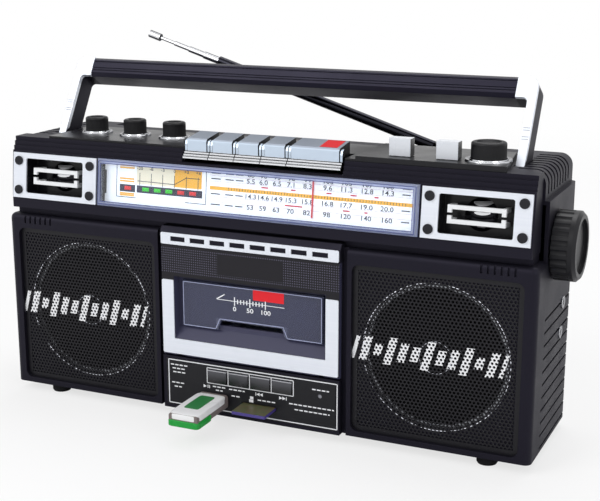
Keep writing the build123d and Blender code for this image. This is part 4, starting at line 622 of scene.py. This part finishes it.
dial_low, dial_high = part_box("dial_lens")
dial_acrylic = clear_acrylic(
    "clear_blue_acrylic",
    "#f7faff",
    "#c3cdf0",
    0.02,
    (dial_low.x + dial_edge, dial_low.z + dial_edge),
    (dial_high.x - dial_edge, dial_high.z - dial_edge),
    ((0, 0), (0, 0)),
    1.0,
)
dress(dial_acrylic, "dial_lens")
lens_low, lens_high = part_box("door_lens")
door_acrylic = clear_acrylic(
    "smoked_blue_acrylic",
    "#4c5070",
    "#757b9a",
    0.03,
    (lens_low.x + lens_edge, lens_low.z + lens_edge),
    (lens_high.x - lens_edge, lens_high.z - lens_edge),
    (
        (middle_across - lens_notch[0], lens_low.z),
        (middle_across + lens_notch[0], lens_low.z + lens_notch[1]),
    ),
    0.5,
)
dress(door_acrylic, "door_lens")

# Dial scale: a pale blue-white printed card behind the window, with the level display at its
# left. All figures are plain numbers, and the red pointer slides in front of them.
print_depth = 0.006
figure_weight = 0.012
figure_spread = 1.2


def print_shapes(name, corners, face, proud, ink):
    """Printed polygons, whose corners lie across and up on a face, in metres.

    A face is the function that puts them there, the body they ride on and a slot, which is not
    used.
    """
    put, body, slot = face
    points = put(corners[..., 0], corners[..., 1], proud).reshape(-1, 3)
    faces = np.arange(len(points)).reshape(-1, corners.shape[1])
    place_mesh(name, points, faces, ink, body, slot)


def print_blocks(name, blocks, face, proud, ink):
    """Printed rectangles (left, right, bottom, top), in millimetres."""
    edges = np.array(blocks, float) / 1000
    corners = np.stack([edges[:, [0, 1, 1, 0]], edges[:, [2, 2, 3, 3]]], -1)
    print_shapes(name, corners, face, proud, ink)


def print_strokes(name, strokes, width, face, proud, ink):
    """Printed lines (x0, y0, x1, y1) in millimetres: each is a quad widened along its normal."""
    ends = np.array(strokes, float).reshape(-1, 2, 2) / 1000
    along = ends[:, 1] - ends[:, 0]
    normal = np.stack([-along[:, 1], along[:, 0]], 1)
    normal *= width / 2000 / np.linalg.norm(along, axis=1)[:, None]
    corners = np.stack(
        [ends[:, 0] - normal, ends[:, 1] - normal, ends[:, 1] + normal, ends[:, 0] + normal], 1
    )
    print_shapes(name, corners, face, proud, ink)


def print_figures(name, labels, size, face, proud, ink):
    """Printed figures (text, x, y in millimetres), thickened and spread about their middles."""
    put, body, slot = face
    points, faces, count = [], [], 0
    for text, across, up in labels:
        curve = bpy.data.curves.new(name, "FONT")
        curve.body = text
        curve.size = size / 1000
        curve.offset = figure_weight * size / 1000
        curve.resolution_u = 3
        curve.align_x = "CENTER"
        curve.align_y = "CENTER"
        holder = bpy.data.objects.new(name, curve)
        outline = bpy.data.meshes.new_from_object(holder)
        flat = np.zeros(len(outline.vertices) * 3)
        outline.vertices.foreach_get("co", flat)
        flat = flat.reshape(-1, 3)
        spread = across / 1000 + figure_spread * flat[:, 0]
        points.append(put(spread, up / 1000 + flat[:, 1], proud))
        faces += [[count + corner for corner in face.vertices] for face in outline.polygons]
        count += len(flat)
        bpy.data.objects.remove(holder)
        bpy.data.curves.remove(curve)
        bpy.data.meshes.remove(outline)
    place_mesh(name, np.concatenate(points), faces, ink, body, slot)


def printing_ink(name, colour, glow=0.0):
    """Screen ink on a smooth card: flat colour, faint mottle from the screen's mesh, and glow as
    painted light.
    """
    material, tree, place = new_finish(name)
    dark = [channel * 0.9 for channel in paint(colour)[:3]] + [1.0]
    tone = add(
        tree,
        "Mix",
        {
            "Factor": add(tree, "TexNoise", {"Vector": place, "Scale": 1500.0, "Detail": 2.0}),
            "A": dark,
            "B": colour,
        },
        "Result",
        data_type="RGBA",
    )
    sockets = {
        "Base Color": tone,
        "Roughness": 0.55,
        "Specular IOR Level": 0.3,
        "Emission Color": colour,
        "Emission Strength": glow,
    }
    close_finish(tree, sockets)
    return material


# The dial's inks glow a little: painted light that brightens the card behind the window.
card_white = printing_ink("card_white_ink", "#f4f8fb", 0.4)
card_cream = printing_ink("card_cream_ink", "#f0e8cd", 0.25)
card_orange = printing_ink("card_orange_ink", "#f3b53c", 0.25)
card_navy = printing_ink("card_navy_ink", "#2a2c45")
card_grey = printing_ink("card_grey_ink", "#3a3b46")
card_pink = printing_ink("card_pink_ink", "#cf9fb0")
card_red = printing_ink("card_red_ink", "#d8324a", 0.1)
black_card = moulded_plastic("black_card", "#0d0d10", 0.7, 0.0006, 0.00001)
dress(black_card, "dial_scale")
on_dial = leaning_face(front_back, band_foot, band_lean, -print_depth)
dial = (on_dial, "root", "printed_scale")
print_blocks("dial_card", [(-112.8, 112.8, 1.8, 30.8)], dial, 0.00005, card_white)
print_blocks("level_cream", [(-88, -58.5, 16.2, 28.6)], dial, 0.0001, card_cream)
stripes = [(-101, -89.5, up, up + 1.1) for up in (27.6, 26.0, 18.6, 16.9, 8.6, 7.4)]
orange_blocks = [(-58.5, -38, 16.2, 28.6), (-32, 112.5, 16.9, 19.3)] + stripes
print_blocks("level_orange", orange_blocks, dial, 0.0001, card_orange)
navy_blocks = [(-87.6, -37.4, 10.3, 15.2), (-101, -88.8, 10.3, 15.2)]
print_blocks("level_navy", navy_blocks, dial, 0.0001, card_navy)
level_marks = (-85.3, -76.4, -67.6, -58.6, -49.6, -40.7)
level_texts = ("-20", "-8", "-3", "0", "+3", "+6")
print_strokes(
    "level_lines",
    [(x, 15.4, x, 23.8) for x in level_marks]
    + [(-87, 18.2, -58.6, 17.9), (-58.6, 17.9, -49.6, 22.9), (-49.6, 22.9, -39.4, 22.9)]
    + [(-103.4, 6.6, -103.4, 28.7), (-34.7, 6.6, -34.7, 28.7), (-103.4, 6.6, -88, 6.6)]
    + [(-50, 6.6, -34.7, 6.6)],
    0.45,
    dial,
    0.00015,
    card_grey,
)
level_labels = [(text, x, 26.7) for text, x in zip(level_texts, level_marks)]
print_figures("level_figures", level_labels, 2.9, dial, 0.00015, card_grey)
columns = (-2.1, 7.0, 16.6, 26.6, 38.0, 51.8, 64.5, 78.2, 92.0)
rows = (
    (28.3, ("88", "90", "93", "96", "99", "103", "105", "107", "108")),
    (24.2, ("5.5", "6.0", "6.5", "7.1", "8.3", "9.6", "11.3", "12.8", "14.3")),
    (14.3, ("14.3", "14.6", "14.9", "15.3", "15.8", "16.8", "17.7", "19.0", "20.0")),
    (7.3, ("53", "59", "63", "70", "82", "98", "120", "140", "160")),
)
scale_labels = [(text, x, up) for up, texts in rows for text, x in zip(texts, columns)]
print_figures("scale_figures", scale_labels, 4.3, dial, 0.00015, card_grey)
tick_spots = enumerate(np.linspace(-18, 104, 62))
ticks = [(x, 17.3, x, 18.9 if turn % 5 else 19.2) for turn, x in tick_spots]
print_strokes("scale_ticks", ticks, 0.35, dial, 0.00015, card_grey)
rules = [(-31, up, 110, up) for up in (26.2, 22.5, 12.5, 9.0)]
rules += [(-20, 21.0, -8, 21.0), (-20, 10.8, -8, 10.8)]
print_strokes("scale_rules", rules, 0.2, dial, 0.00012, card_pink)
dash_ends = ((-31, -24), (-20.5, -14.5), (-13, -7.5))
dash_ups = (27.9, 24.2, 14.3, 7.3)
dashes = [(left, up, right, up) for up in dash_ups for left, right in dash_ends]
dashes += [(101.5, up, 107, up) for up in dash_ups]
print_strokes("scale_dashes", dashes, 0.75, dial, 0.00015, card_grey)
upper_marks = ((5.5, 10.5), (26.4, 29.8), (51, 54.6), (67.4, 71.6), (83.4, 86.2))
lower_marks = ((22.6, 34.9), (62.8, 67.4), (77.2, 79.4))
red_marks = [(left, right, 20.6, 21.5) for left, right in upper_marks]
red_marks += [(left, right, 10.5, 11.4) for left, right in lower_marks]
print_blocks("scale_red_marks", red_marks, dial, 0.00015, card_red)

# Level lamps: small rectangular light-emitting diodes of tinted epoxy, domed by their casting.
# They stand through the card from the board behind it: one for power and five for the level.
lamp_half = (0.0026, 0.0013)
lamp_rise = 0.0009
lamp_height = 0.0128
lamp_foot = 0.00015


def pillow(across, up, half, rise, put, foot, steps=12):
    """A domed lamp: height = rise * (1 - x^4) * (1 - y^4), with x and y from -1 to 1."""
    x, y = np.meshgrid(np.linspace(-1, 1, steps), np.linspace(-1, 1, steps))
    lift = rise * (1 - x ** 4) * (1 - y ** 4)
    points = put(across + x * half[0], up + y * half[1], foot + lift)
    index = np.arange(steps * steps).reshape(steps, steps)
    faces = np.stack(
        [index[:-1, :-1], index[:-1, 1:], index[1:, 1:], index[1:, :-1]], -1
    ).reshape(-1, 4)
    return points.reshape(-1, 3), faces


green_epoxy = printing_ink("green_led_epoxy", "#35c335", 0.35)
red_epoxy = printing_ink("red_led_epoxy", "#d92a2f", 0.3)
lamps = [("power", -94.6, red_epoxy)] + [
    (f"level_{turn + 1}", x, green_epoxy if turn < 3 else red_epoxy)
    for turn, x in enumerate((-80.6, -71.6, -62.7, -53.6, -44.6))
]
for name, x, material in lamps:
    points, faces = pillow(x / 1000, lamp_height, lamp_half, lamp_rise, on_dial, lamp_foot)
    place_mesh(f"{name}_lamp", points, faces, material, "root", "printed_scale", smooth=True)

# Pointer: a blade of red acrylic on a clip, which rides on the card's top edge and is drawn along
# by the tuning cord.
# The pointer's red glows a little: painted light.
dress(printing_ink("red_acrylic", "#d2303c", 0.15), "dial_pointer")

# Control top: one glossy black moulding that carries the knobs, switches and keys.
# Its top has a finer, shinier grain than the case.
top_abs = moulded_plastic("black_abs_fine_grain", "#18181c", 0.3, 0.0007, 0.00002)
dress(top_abs, "control_top", "control_panel", "aerial_base")

# Knobs: black ABS caps pushed on split shafts, with fine flutes for the fingers round the side.
# The top is dished inside a rounded lip, and a stepped chrome ring lies on the plate round each.
knob_lip = 0.0014
knob_dish = 0.0011
flute_depth = 0.0003
knob_specs = (
    ("volume_knob", 0.0079, 48, 0.0108, 0.0110),
    ("bass_knob", 0.0079, 48, 0.0108, 0.0110),
    ("treble_knob", 0.0079, 48, 0.0108, 0.0110),
    ("function_knob", 0.0109, 64, 0.0114, 0.0145),
)
knob_abs = moulded_plastic("black_abs_knob", "#141417", 0.4, 0.0005, 0.00001)
for node, radius, flutes, tall, wide in knob_specs:
    low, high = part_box(node)
    middle = ((low.x + high.x) / 2, (low.y + high.y) / 2, 0)
    foot = high.z - tall
    lip_height = high.z - knob_lip
    wall = np.linspace(foot + 0.0008, lip_height - 0.0003, 6)
    profile = np.concatenate(
        [
            [(0.0030, foot), (radius - 0.0006, foot), (radius, foot + 0.0004)],
            np.stack([np.full(6, radius), wall], 1),
            arc((radius - knob_lip, lip_height), knob_lip, 0, 90, 7),
            arc((radius - 2 * knob_lip, high.z - knob_dish / 2), knob_dish / 2, 90, 180, 5),
            [(radius * 0.45, high.z - knob_dish * 0.85), (0.0001, high.z - knob_dish)],
        ]
    )
    points, faces = turned(profile, flutes * 4, flutes, flute_depth, (foot + 0.001, lip_height))
    body = f"{node}_body"
    cap = place_mesh(
        f"{node}_cap", points + middle, faces, knob_abs, body, "gloss_black", smooth=True
    )
    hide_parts(node)
    ring_profile = np.array(
        [(wide, 0), (wide, 0.0007), (wide - 0.0004, 0.0012), (wide - 0.0009, 0.0012)]
        + [(radius + 0.0012, 0.0009), (radius + 0.0010, 0.0016), (radius + 0.0006, 0.0016)]
        + [(radius + 0.0006, 0)]
    )
    points, faces = turned(ring_profile + (0, foot - 0.0003), 96)
    ring = place_mesh(f"{node}_ring", points + middle, faces, chrome, "root", "chrome")
    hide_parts("knob_rings")

# Slide switches: square caps of black ABS pressed on black stems, metallised in front and on top.
# The plating doesn't reach their sides.
side_limit = 0.75


def faces_side(tree):
    """1 where a flat face looks across the object, else 0."""
    looks = add(tree, "SeparateXYZ", {0: add(tree, "NewGeometry", None, "True Normal")}, None)
    aside = add(tree, "Math", {0: looks["X"]}, operation="ABSOLUTE")
    return add(tree, "Math", {0: aside, 1: side_limit}, operation="GREATER_THAN")


switch_cap, tree, place = new_finish("silver_and_black_abs_cap")
tone = add(
    tree,
    "Mix",
    {"Factor": faces_side(tree), "A": "#e6eaf1", "B": "#141418"},
    "Result",
    data_type="RGBA",
)
sockets = {
    "Base Color": tone,
    "Roughness": wander(tree, place, 80.0, 3.0, 0.2, 0.33),
    "Normal": add(tree, "Bevel", {"Radius": 0.0004}, samples=4),
}
close_finish(tree, sockets)
dress(switch_cap, "tape_switch", "band_switch")

# Piano keys: black ABS, plated in front and on top: a bright stepped ledge, a pale blue-grey
# satin face and a greyer top. The sides stay dark, and the steps carry painted shadows.
ledge_height = 0.1852
face_height = 0.1926
change_height = 0.0003
step_looks = (0.7, 2.0)
step_heights = (0.15, ledge_height)
# Painted shadows: bands at these heights on the keys' steps are painted dark.
painted_step_shadows = ((0.18145, 0.18180), (0.18300, 0.18345), (0.18455, 0.18495))
key_metal, tree, place = new_finish("satin_and_bright_chrome_on_abs")
height = add(tree, "SeparateXYZ", {0: place}, "Z")
looks_up = add(tree, "SeparateXYZ", {0: add(tree, "NewGeometry", None, "True Normal")}, "Z")
above_ledge = add(
    tree,
    "MapRange",
    {"Value": height, "From Min": ledge_height - change_height, "From Max": ledge_height},
)
on_top = add(
    tree,
    "MapRange",
    {"Value": height, "From Min": face_height - change_height, "From Max": face_height},
)
satin = add(
    tree, "Mix", {"Factor": on_top, "A": "#c6d4e4", "B": "#a9b2c0"}, "Result", data_type="RGBA"
)
plating = add(
    tree, "Mix", {"Factor": above_ledge, "A": "#e8eaee", "B": satin}, "Result", data_type="RGBA"
)
# Painted shade: upward faces of the steps below the ledge are painted dark and not metallic.
painted_step_shade = add(
    tree,
    "Math",
    {0: inside(tree, height, *step_heights), 1: inside(tree, looks_up, *step_looks)},
    operation="MULTIPLY",
)
dark = add(tree, "Math", {0: faces_side(tree), 1: painted_step_shade}, operation="MAXIMUM")
for low, high in painted_step_shadows:
    dark = add(tree, "Math", {0: dark, 1: inside(tree, height, low, high)}, operation="MAXIMUM")
tone = add(tree, "Mix", {"Factor": dark, "A": plating, "B": "#0c0c10"}, "Result", data_type="RGBA")
sockets = {
    "Base Color": tone,
    "Metallic": add(tree, "MapRange", {"Value": dark, "To Min": 0.75, "To Max": 0.0}),
    "Roughness": add(tree, "MapRange", {"Value": above_ledge, "To Min": 0.2, "To Max": 0.35}),
}
close_finish(tree, sockets)
dress(key_metal, "stop_key", "rewind_key", "forward_key", "play_key", "record_key")

# The record key's red corner: a panel of red ink on the right of its top, which warns that the key
# wipes the tape.
red_ink = printing_ink("red_key_ink", "#d6101c")
key_top_edges = ((0.0080, 0.1933), (0.0245, 0.1957))


def on_key_top(across, up, proud=0.0):
    """Points on the record key's top, which rises along a line from its front to its back edge."""
    across, up = np.broadcast_arrays(np.asarray(across, float), np.asarray(up, float))
    (near, low), (far, high) = key_top_edges
    height = low + (up - near) * (high - low) / (far - near)
    return np.stack([middle_across + across, front_back + up, height + proud], -1)


record_top = (on_key_top, "record_key_body", "key_plastic")
print_blocks("record_red", [(45.5, 57.5, 8.8, 23.6)], record_top, 0.00008, red_ink)

# Cassette door: black ABS with a band of moulded dots above the window round a bare badge, the
# dots painted lighter as a painted highlight, and a darker, bluer tub behind the window.
dot_pitch = 0.0016
dot_edge = (0.22, 0.34)
dot_rise = 0.0003
band_heights = (0.1035, 0.1205)
badge_low = (middle_across - 0.0225, 0.1055)
badge_high = (middle_across + 0.0255, 0.1190)
tub_front = front_back - 0.0024
door_abs, tree, place = new_finish("black_abs_dotted_band")
axes = add(tree, "SeparateXYZ", {0: place}, None)
in_plane = add(tree, "CombineXYZ", {"X": axes["X"], "Y": axes["Z"]})
sockets = {"Vector": in_plane, "Scale": 1 / dot_pitch, "Randomness": 0.0}
dots = add(tree, "TexVoronoi", sockets, voronoi_dimensions="2D")
dot = add(
    tree,
    "MapRange",
    {"Value": dots, "From Min": dot_edge[0], "From Max": dot_edge[1], "To Min": 1.0, "To Max": 0.0},
)
in_band = inside(tree, axes["Z"], *band_heights)
in_badge = in_rectangle(tree, axes, badge_low, badge_high)
dotted = add(tree, "Math", {0: in_band, 1: in_badge}, operation="SUBTRACT", use_clamp=True)
height = add(tree, "Math", {0: dotted, 1: dot}, operation="MULTIPLY")
# Painted highlight: the raised dots are painted grey on the black plate.
tone_with_painted_dot_highlights = add(
    tree, "Mix", {"Factor": height, "A": "#100e16", "B": "#565466"}, "Result", data_type="RGBA"
)
in_tub = add(tree, "Math", {0: axes["Y"], 1: tub_front}, operation="GREATER_THAN")
tone = add(
    tree, "Mix", {"Factor": in_tub, "A": tone_with_painted_dot_highlights, "B": "#3f3f57"}, "Result", data_type="RGBA"
)
sockets = {
    "Base Color": tone,
    "Roughness": 0.4,
    "Specular IOR Level": 0.3,
    "Normal": add(
        tree,
        "Bump",
        {
            "Strength": 1.0,
            "Distance": dot_rise,
            "Height": height,
            "Normal": add(tree, "Bevel", {"Radius": edge_radius}, samples=4),
        },
    ),
}
close_finish(tree, sockets)
dress(door_abs, "cassette_door")

# Edge lines of the two windows: where a moulded bevel meets the flat, the acrylic shows a thin
# line, painted here as ink: painted shade round the dial, and a painted highlight that glows a
# little round the door's window and its notch.
painted_shade_line = printing_ink("dark_edge_of_acrylic", "#4b558a")
painted_highlight_line = printing_ink("pale_edge_of_acrylic", "#a3a9c8", 0.1)
band_face = (on_band, "root", "printed_scale")
door_face = (leaning_face(lens_low.y, 0.0, 0.0), "cassette_door_body", "clear_window")


def outline_strokes(left, right, bottom, top):
    """The four sides of a rectangle."""
    corners = [(left, bottom), (right, bottom), (right, top), (left, top)]
    return [(*start, *end) for start, end in zip(corners, corners[1:] + corners[:1])]


dial_lines = outline_strokes(-111.3, 111.3, 3.2, 28.9) + outline_strokes(-112.9, 112.9, 1.5, 30.5)
print_strokes("dial_edge_lines", dial_lines, 0.45, band_face, 0.00325, painted_shade_line)
notch_path = [(-50.6, 66.6), (-26.4, 66.6), (-23.2, 73.9), (23.2, 73.9), (26.4, 66.6), (50.6, 66.6)]
door_path = notch_path + [(50.6, 96.9), (-50.6, 96.9), (-50.6, 66.6)]
door_lines = [(*start, *end) for start, end in zip(door_path, door_path[1:])]
print_strokes("door_edge_lines", door_lines, 0.5, door_face, 0.00005, painted_highlight_line)

# Counter print on the door window: a tape gauge with an arrow, ticks and plain numbers,
# and a red block, all screen printed on the front of the acrylic.
# These inks glow a little: painted light.
window_ink = printing_ink("white_window_ink", "#f4f5f7", 0.1)
window_red = printing_ink("red_window_ink", "#e0202b", 0.1)
gauge_height = 87.3
gauge = np.linspace(-12.0, 10.6, 11)
gauge_marks = []
for turn, x in enumerate(gauge):
    reach = 1.5 if turn % 5 else 2.9
    gauge_marks.append((x, gauge_height - reach, x, gauge_height + reach))
gauge_marks += [(-25.4, 87.6, -19.2, 91.4), (-19.2, 91.4, -20.0, 91.0)]
print_strokes("gauge_ticks", gauge_marks, 0.75, door_face, 0.0001, window_ink)
print_strokes("gauge_line", [(-25.2, 87.5, 24.3, 87.1)], 0.4, door_face, 0.0001, window_ink)
gauge_labels = [("0", -12.0, 82.0), ("50", -0.7, 82.0), ("100", 10.6, 82.0)]
print_figures("gauge_figures", gauge_labels, 4.3, door_face, 0.0001, window_ink)
print_blocks("gauge_red", [(1.6, 24.0, 89.8, 96.8)], door_face, 0.0001, window_red)

# Lower panel print: a white keyline, the outline round the buttons and generic transport marks,
# screen printed on the gloss in an ink that glows faintly as painted light. Captions are dashes,
# and a grey gauze, which also glows a little as painted light, closes the microphone's hole.
panel_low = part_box("control_panel")[0]
panel_face = (leaning_face(panel_low.y, 0.0, 0.0), "root", "gloss_black")
panel_ink = printing_ink("white_panel_ink", "#e9eaee", 0.05)
film = 0.0001
keyline = (-60.8, 63.6, 10.9, 42.0)
frame_line = (-31.2, 32.6, 29.2, 39.9)
button_gaps = (-15.4, 0.6, 16.6)
dash_length = 2.6
dash_pitch = 3.4
button_frame = outline_strokes(*frame_line)
button_frame += [(x, frame_line[2], x, frame_line[3]) for x in button_gaps]
print_strokes("panel_keyline", outline_strokes(*keyline), 0.7, panel_face, film, panel_ink)
print_strokes("button_frame", button_frame, 0.6, panel_face, film, panel_ink)


def triangles(name, marks, size, face, proud, ink):
    """Arrow heads (x, y, way), in millimetres, which point right where way is 1, left at -1."""
    marks = np.array(marks, float)
    way = marks[:, 2][:, None, None]
    shape = np.array([[-0.45, -0.5], [0.55, 0.0], [-0.45, 0.5]]) * size
    corners = marks[:, None, :2] + shape * np.concatenate([way, np.ones_like(way)], -1)
    corners = np.where(way < 0, corners[:, ::-1], corners) / 1000
    print_shapes(name, corners, face, proud, ink)


caption_lines = (
    (-59.2, 38.6, 13.5), (-57.9, 36.0, 10.9), (-57.5, 33.4, 10.2), (-58.6, 25.8, 9.4),
    (-56.6, 23.0, 5.6), (-27.0, 27.2, 10.0), (-24.8, 24.8, 5.2), (-14.8, 27.0, 11.8),
    (-12.9, 22.6, 6.6), (6.6, 22.6, 14.0), (29.5, 23.8, 32.0), (33.5, 20.2, 25.0),
    (46.0, 36.2, 12.0),
)
captions = []
for left, up, length in caption_lines:
    starts = np.arange(left, left + length - 1.0, dash_pitch)
    captions += [(start, up, min(start + dash_length, left + length), up) for start in starts]
print_strokes("panel_captions", captions, 0.85, panel_face, film, panel_ink)
# The gauze's grey is its own colour, and it also glows a little: painted light.
gauze = colour_with_painted_glow("grey_woven_gauze", "#85868e", 0.12)
points, faces = flat_ring((middle_across + 0.0514, 0.0319), 0.0007, 0.0013, front_back - 0.00228)
place_mesh("microphone_gauze", points, faces, gauze, "root", "gloss_black")
mark_height = 26.6
arrow_tips = ((-33.0, 1), (6.9, -1), (9.3, -1), (23.4, 1), (25.8, 1))
arrows = [(x, mark_height, way) for x, way in arrow_tips]
triangles("transport_arrows", arrows, 2.4, panel_face, film, panel_ink)
bars = [(-31.0, -30.4, 1.1), (-29.8, -29.2, 1.1), (5.0, 5.5, 1.2), (27.3, 27.8, 1.2)]
bars = [(left, right, mark_height - half, mark_height + half) for left, right, half in bars]
bars += [(0.2, 3.4, 20.2, 22.2), (0.9, 3.4, 22.4, 24.4)]
print_blocks("transport_bars", bars, panel_face, film, panel_ink)

# Buttons: glossy black ABS caps on the switches of the board behind, dished a little. Each is
# painted with light: darker at its foot, lighter towards its top, with a pale painted highlight
# line.
button_foot, button_head = 0.0300, 0.0390
painted_highlight_band = (button_head - 0.0009, button_head - 0.0003)
button_gloss, tree, place = new_finish("gloss_black_abs_button")
height = add(tree, "SeparateXYZ", {0: place}, "Z")
# Painted shade and highlight: a gradient up from black at the foot, and a pale line near the head.
painted_shade_gradient = add(
    tree,
    "MapRange",
    {"Value": height, "From Min": button_foot, "From Max": button_head},
    interpolation_type="SMOOTHSTEP",
)
tone = add(
    tree, "Mix", {"Factor": painted_shade_gradient, "A": "#0d0d10", "B": "#4a4a50"}, "Result", data_type="RGBA"
)
tone = add(
    tree,
    "Mix",
    {"Factor": inside(tree, height, *painted_highlight_band), "A": tone, "B": "#a9aab0"},
    "Result",
    data_type="RGBA",
)
sockets = {
    "Base Color": tone,
    "Roughness": 0.2,
    "Normal": add(tree, "Bevel", {"Radius": 0.0008}, samples=4),
}
close_finish(tree, sockets)
dress(button_gloss, "play_button", "erase_button", "previous_button", "next_button")

# Memory stick: a grey ABS shell with a white lid, a green inlay and a green end cap, pushed into
# its socket by the plug at its far end.
stick_low, stick_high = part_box("memory_stick")
stick_grey = moulded_plastic("warm_grey_abs", "#7a706e", 0.35, 0.0006, 0.00001)
stick_white = moulded_plastic("white_abs_lid", "#f1f1f2", 0.25, 0.0006, 0.000006)
stick_green = moulded_plastic("green_abs", "#1f9a3c", 0.28, 0.0006, 0.000006)
stick_inset = moulded_plastic("dark_green_abs", "#2c7a40", 0.4, 0.0006, 0.000006)
dress(stick_grey, "memory_stick")

stick_blocks = (
    ("stick_lid", -0.0003, -0.0003, -0.0002, 0.0412, -0.0046, 0.0005, stick_white),
    ("stick_inlay", 0.0048, 0.0050, 0.0105, 0.0350, -0.0004, 0.0008, stick_inset),
    ("stick_cap", -0.0010, -0.0010, -0.0008, 0.0190, -0.0091, -0.0043, stick_green),
)
stick_power = 0.22


def soft_block(low, high, power, steps=48):
    """A block with soft edges: a superellipsoid.

    Each coordinate is half the size times sign(c) * |c| to the power, with c the usual sine and
    cosine products of two angles; a small power squares the form up.
    """
    turn = np.linspace(0, 2 * np.pi, steps, endpoint=False)
    rise = np.linspace(-np.pi / 2, np.pi / 2, steps // 2)

    def bent(value):
        """The value's sign times its size to the power."""
        return np.sign(value) * np.abs(value) ** power

    low, high = np.array(low), np.array(high)
    form = np.stack(
        [
            bent(np.cos(rise))[:, None] * bent(np.cos(turn))[None],
            bent(np.cos(rise))[:, None] * bent(np.sin(turn))[None],
            np.repeat(bent(np.sin(rise))[:, None], steps, 1),
        ],
        -1,
    )
    points = (low + high) / 2 + form * (high - low) / 2
    return points.reshape(-1, 3), loop_faces(len(rise), steps)


for name, left, right, near, far, bottom, top, material in stick_blocks:
    points, faces = soft_block(
        (stick_low.x + left, stick_low.y + near, stick_high.z + bottom),
        (stick_high.x - right, stick_low.y + far, stick_high.z + top),
        stick_power,
    )
    place_mesh(name, points, faces, material, "memory_stick_body", "stick_plastic", smooth=True)

# Memory card: a wafer of moulded polycarbonate, violet at its edges, with a printed label of muted
# green and brown. It is pushed into a slot beside the stick.
label_looks = 0.5
card_finish, tree, place = new_finish("printed_polycarbonate_card")
looks_up = add(tree, "SeparateXYZ", {0: add(tree, "NewGeometry", None, "Normal")}, "Z")
on_label = add(tree, "Math", {0: looks_up, 1: label_looks}, operation="GREATER_THAN")
label = add(
    tree,
    "Mix",
    {
        "Factor": add(tree, "TexNoise", {"Vector": place, "Scale": 260.0, "Detail": 1.0}),
        "A": "#3f5e3a",
        "B": "#6d5140",
    },
    "Result",
    data_type="RGBA",
)
sockets = {
    "Base Color": add(
        tree, "Mix", {"Factor": on_label, "A": "#463a84", "B": label}, "Result", data_type="RGBA"
    ),
    "Roughness": 0.4,
}
close_finish(tree, sockets)
dress(card_finish, "memory_card")

# Tuning knob: a heavy wheel of black ABS with scallops for the fingers, pressed on the shaft that
# draws the dial cord.
dress(moulded_plastic("black_abs_wheel", "#17171b", 0.38, 0.0005, 0.00001), "tuning_knob")

# Handle grip: an extruded black ABS bar, screwed between the arms and smoother than the case.
# It shares the case's purple sheen.
grip_abs = moulded_plastic("black_abs_grip", "#1d1c27", 0.33, 0.0006, 0.00001, sheen=case_sheen)
dress(grip_abs, "handle_grip")

# Marks on the arms' trims: two pairs of fine grooves moulded across each, drawn as grey lines of
# painted shade where they sink. They lie on the front of the trims and lean with the handle.
on_trim = leaning_face(front_back + 0.043, 0.180, math.radians(30), 0.0085)
trim_face = (on_trim, "handle", "silver_plastic")
groove_ups = (19.0, 20.6, 25.0, 26.6)
grooves = [(side * 164.6, up, side * 168.9, up) for side in (-1, 1) for up in groove_ups]
groove_painted_shade = printing_ink("grey_groove_dirt", "#8d8f9c")
print_strokes("trim_grooves", grooves, 0.4, trim_face, 0.00006, groove_painted_shade)

# Aerial: drawn brass tubes that slide in one another, held by spring sleeves. The largest is
# plated black, the others grey, and each grey one is painted darker where it turns away: a painted
# reflection.
black_plate, tree, place = new_finish("black_nickel_plate")
sockets = {
    "Base Color": "#26262c",
    "Metallic": 1.0,
    "Roughness": wander(tree, place, 200.0, 3.0, 0.14, 0.26),
}
close_finish(tree, sockets)
dress(black_plate, "aerial_tube")
grey_plate, tree, place = new_finish("drawn_nickel_plate")
# Painted reflection: the grey tubes turn dark towards their edges.
turned_away = add(tree, "LayerWeight", {"Blend": 0.5}, "Facing")
painted_reflection_falloff = add(tree, "MapRange", {"Value": turned_away, "From Min": 0.12, "From Max": 0.5})
tone = add(
    tree, "Mix", {"Factor": painted_reflection_falloff, "A": "#e6e7ea", "B": "#303138"}, "Result", data_type="RGBA"
)
sockets = {
    "Base Color": tone,
    "Metallic": 1.0,
    "Roughness": wander(tree, place, 200.0, 3.0, 0.12, 0.24),
}
close_finish(tree, sockets)
dress(grey_plate, *(f"aerial_section_{number}" for number in (1, 2, 3, 4)))

# Inside: circuit boards of phenolic paper under a green mask, nylon spindles that turn the tape,
# and the mains inlet, whose black nylon snaps into the back.
dress(moulded_plastic("green_solder_mask", "#2f5d38", 0.4, 0.0008, 0.00001), "circuit_boards")
nylon = moulded_plastic("natural_nylon", "#d9d8cf", 0.45, 0.0006, 0.00001)
dress(nylon, "supply_spindle", "takeup_spindle")
dress(moulded_plastic("black_nylon", "#141416", 0.5, 0.0006, 0.00001), "mains_inlet")
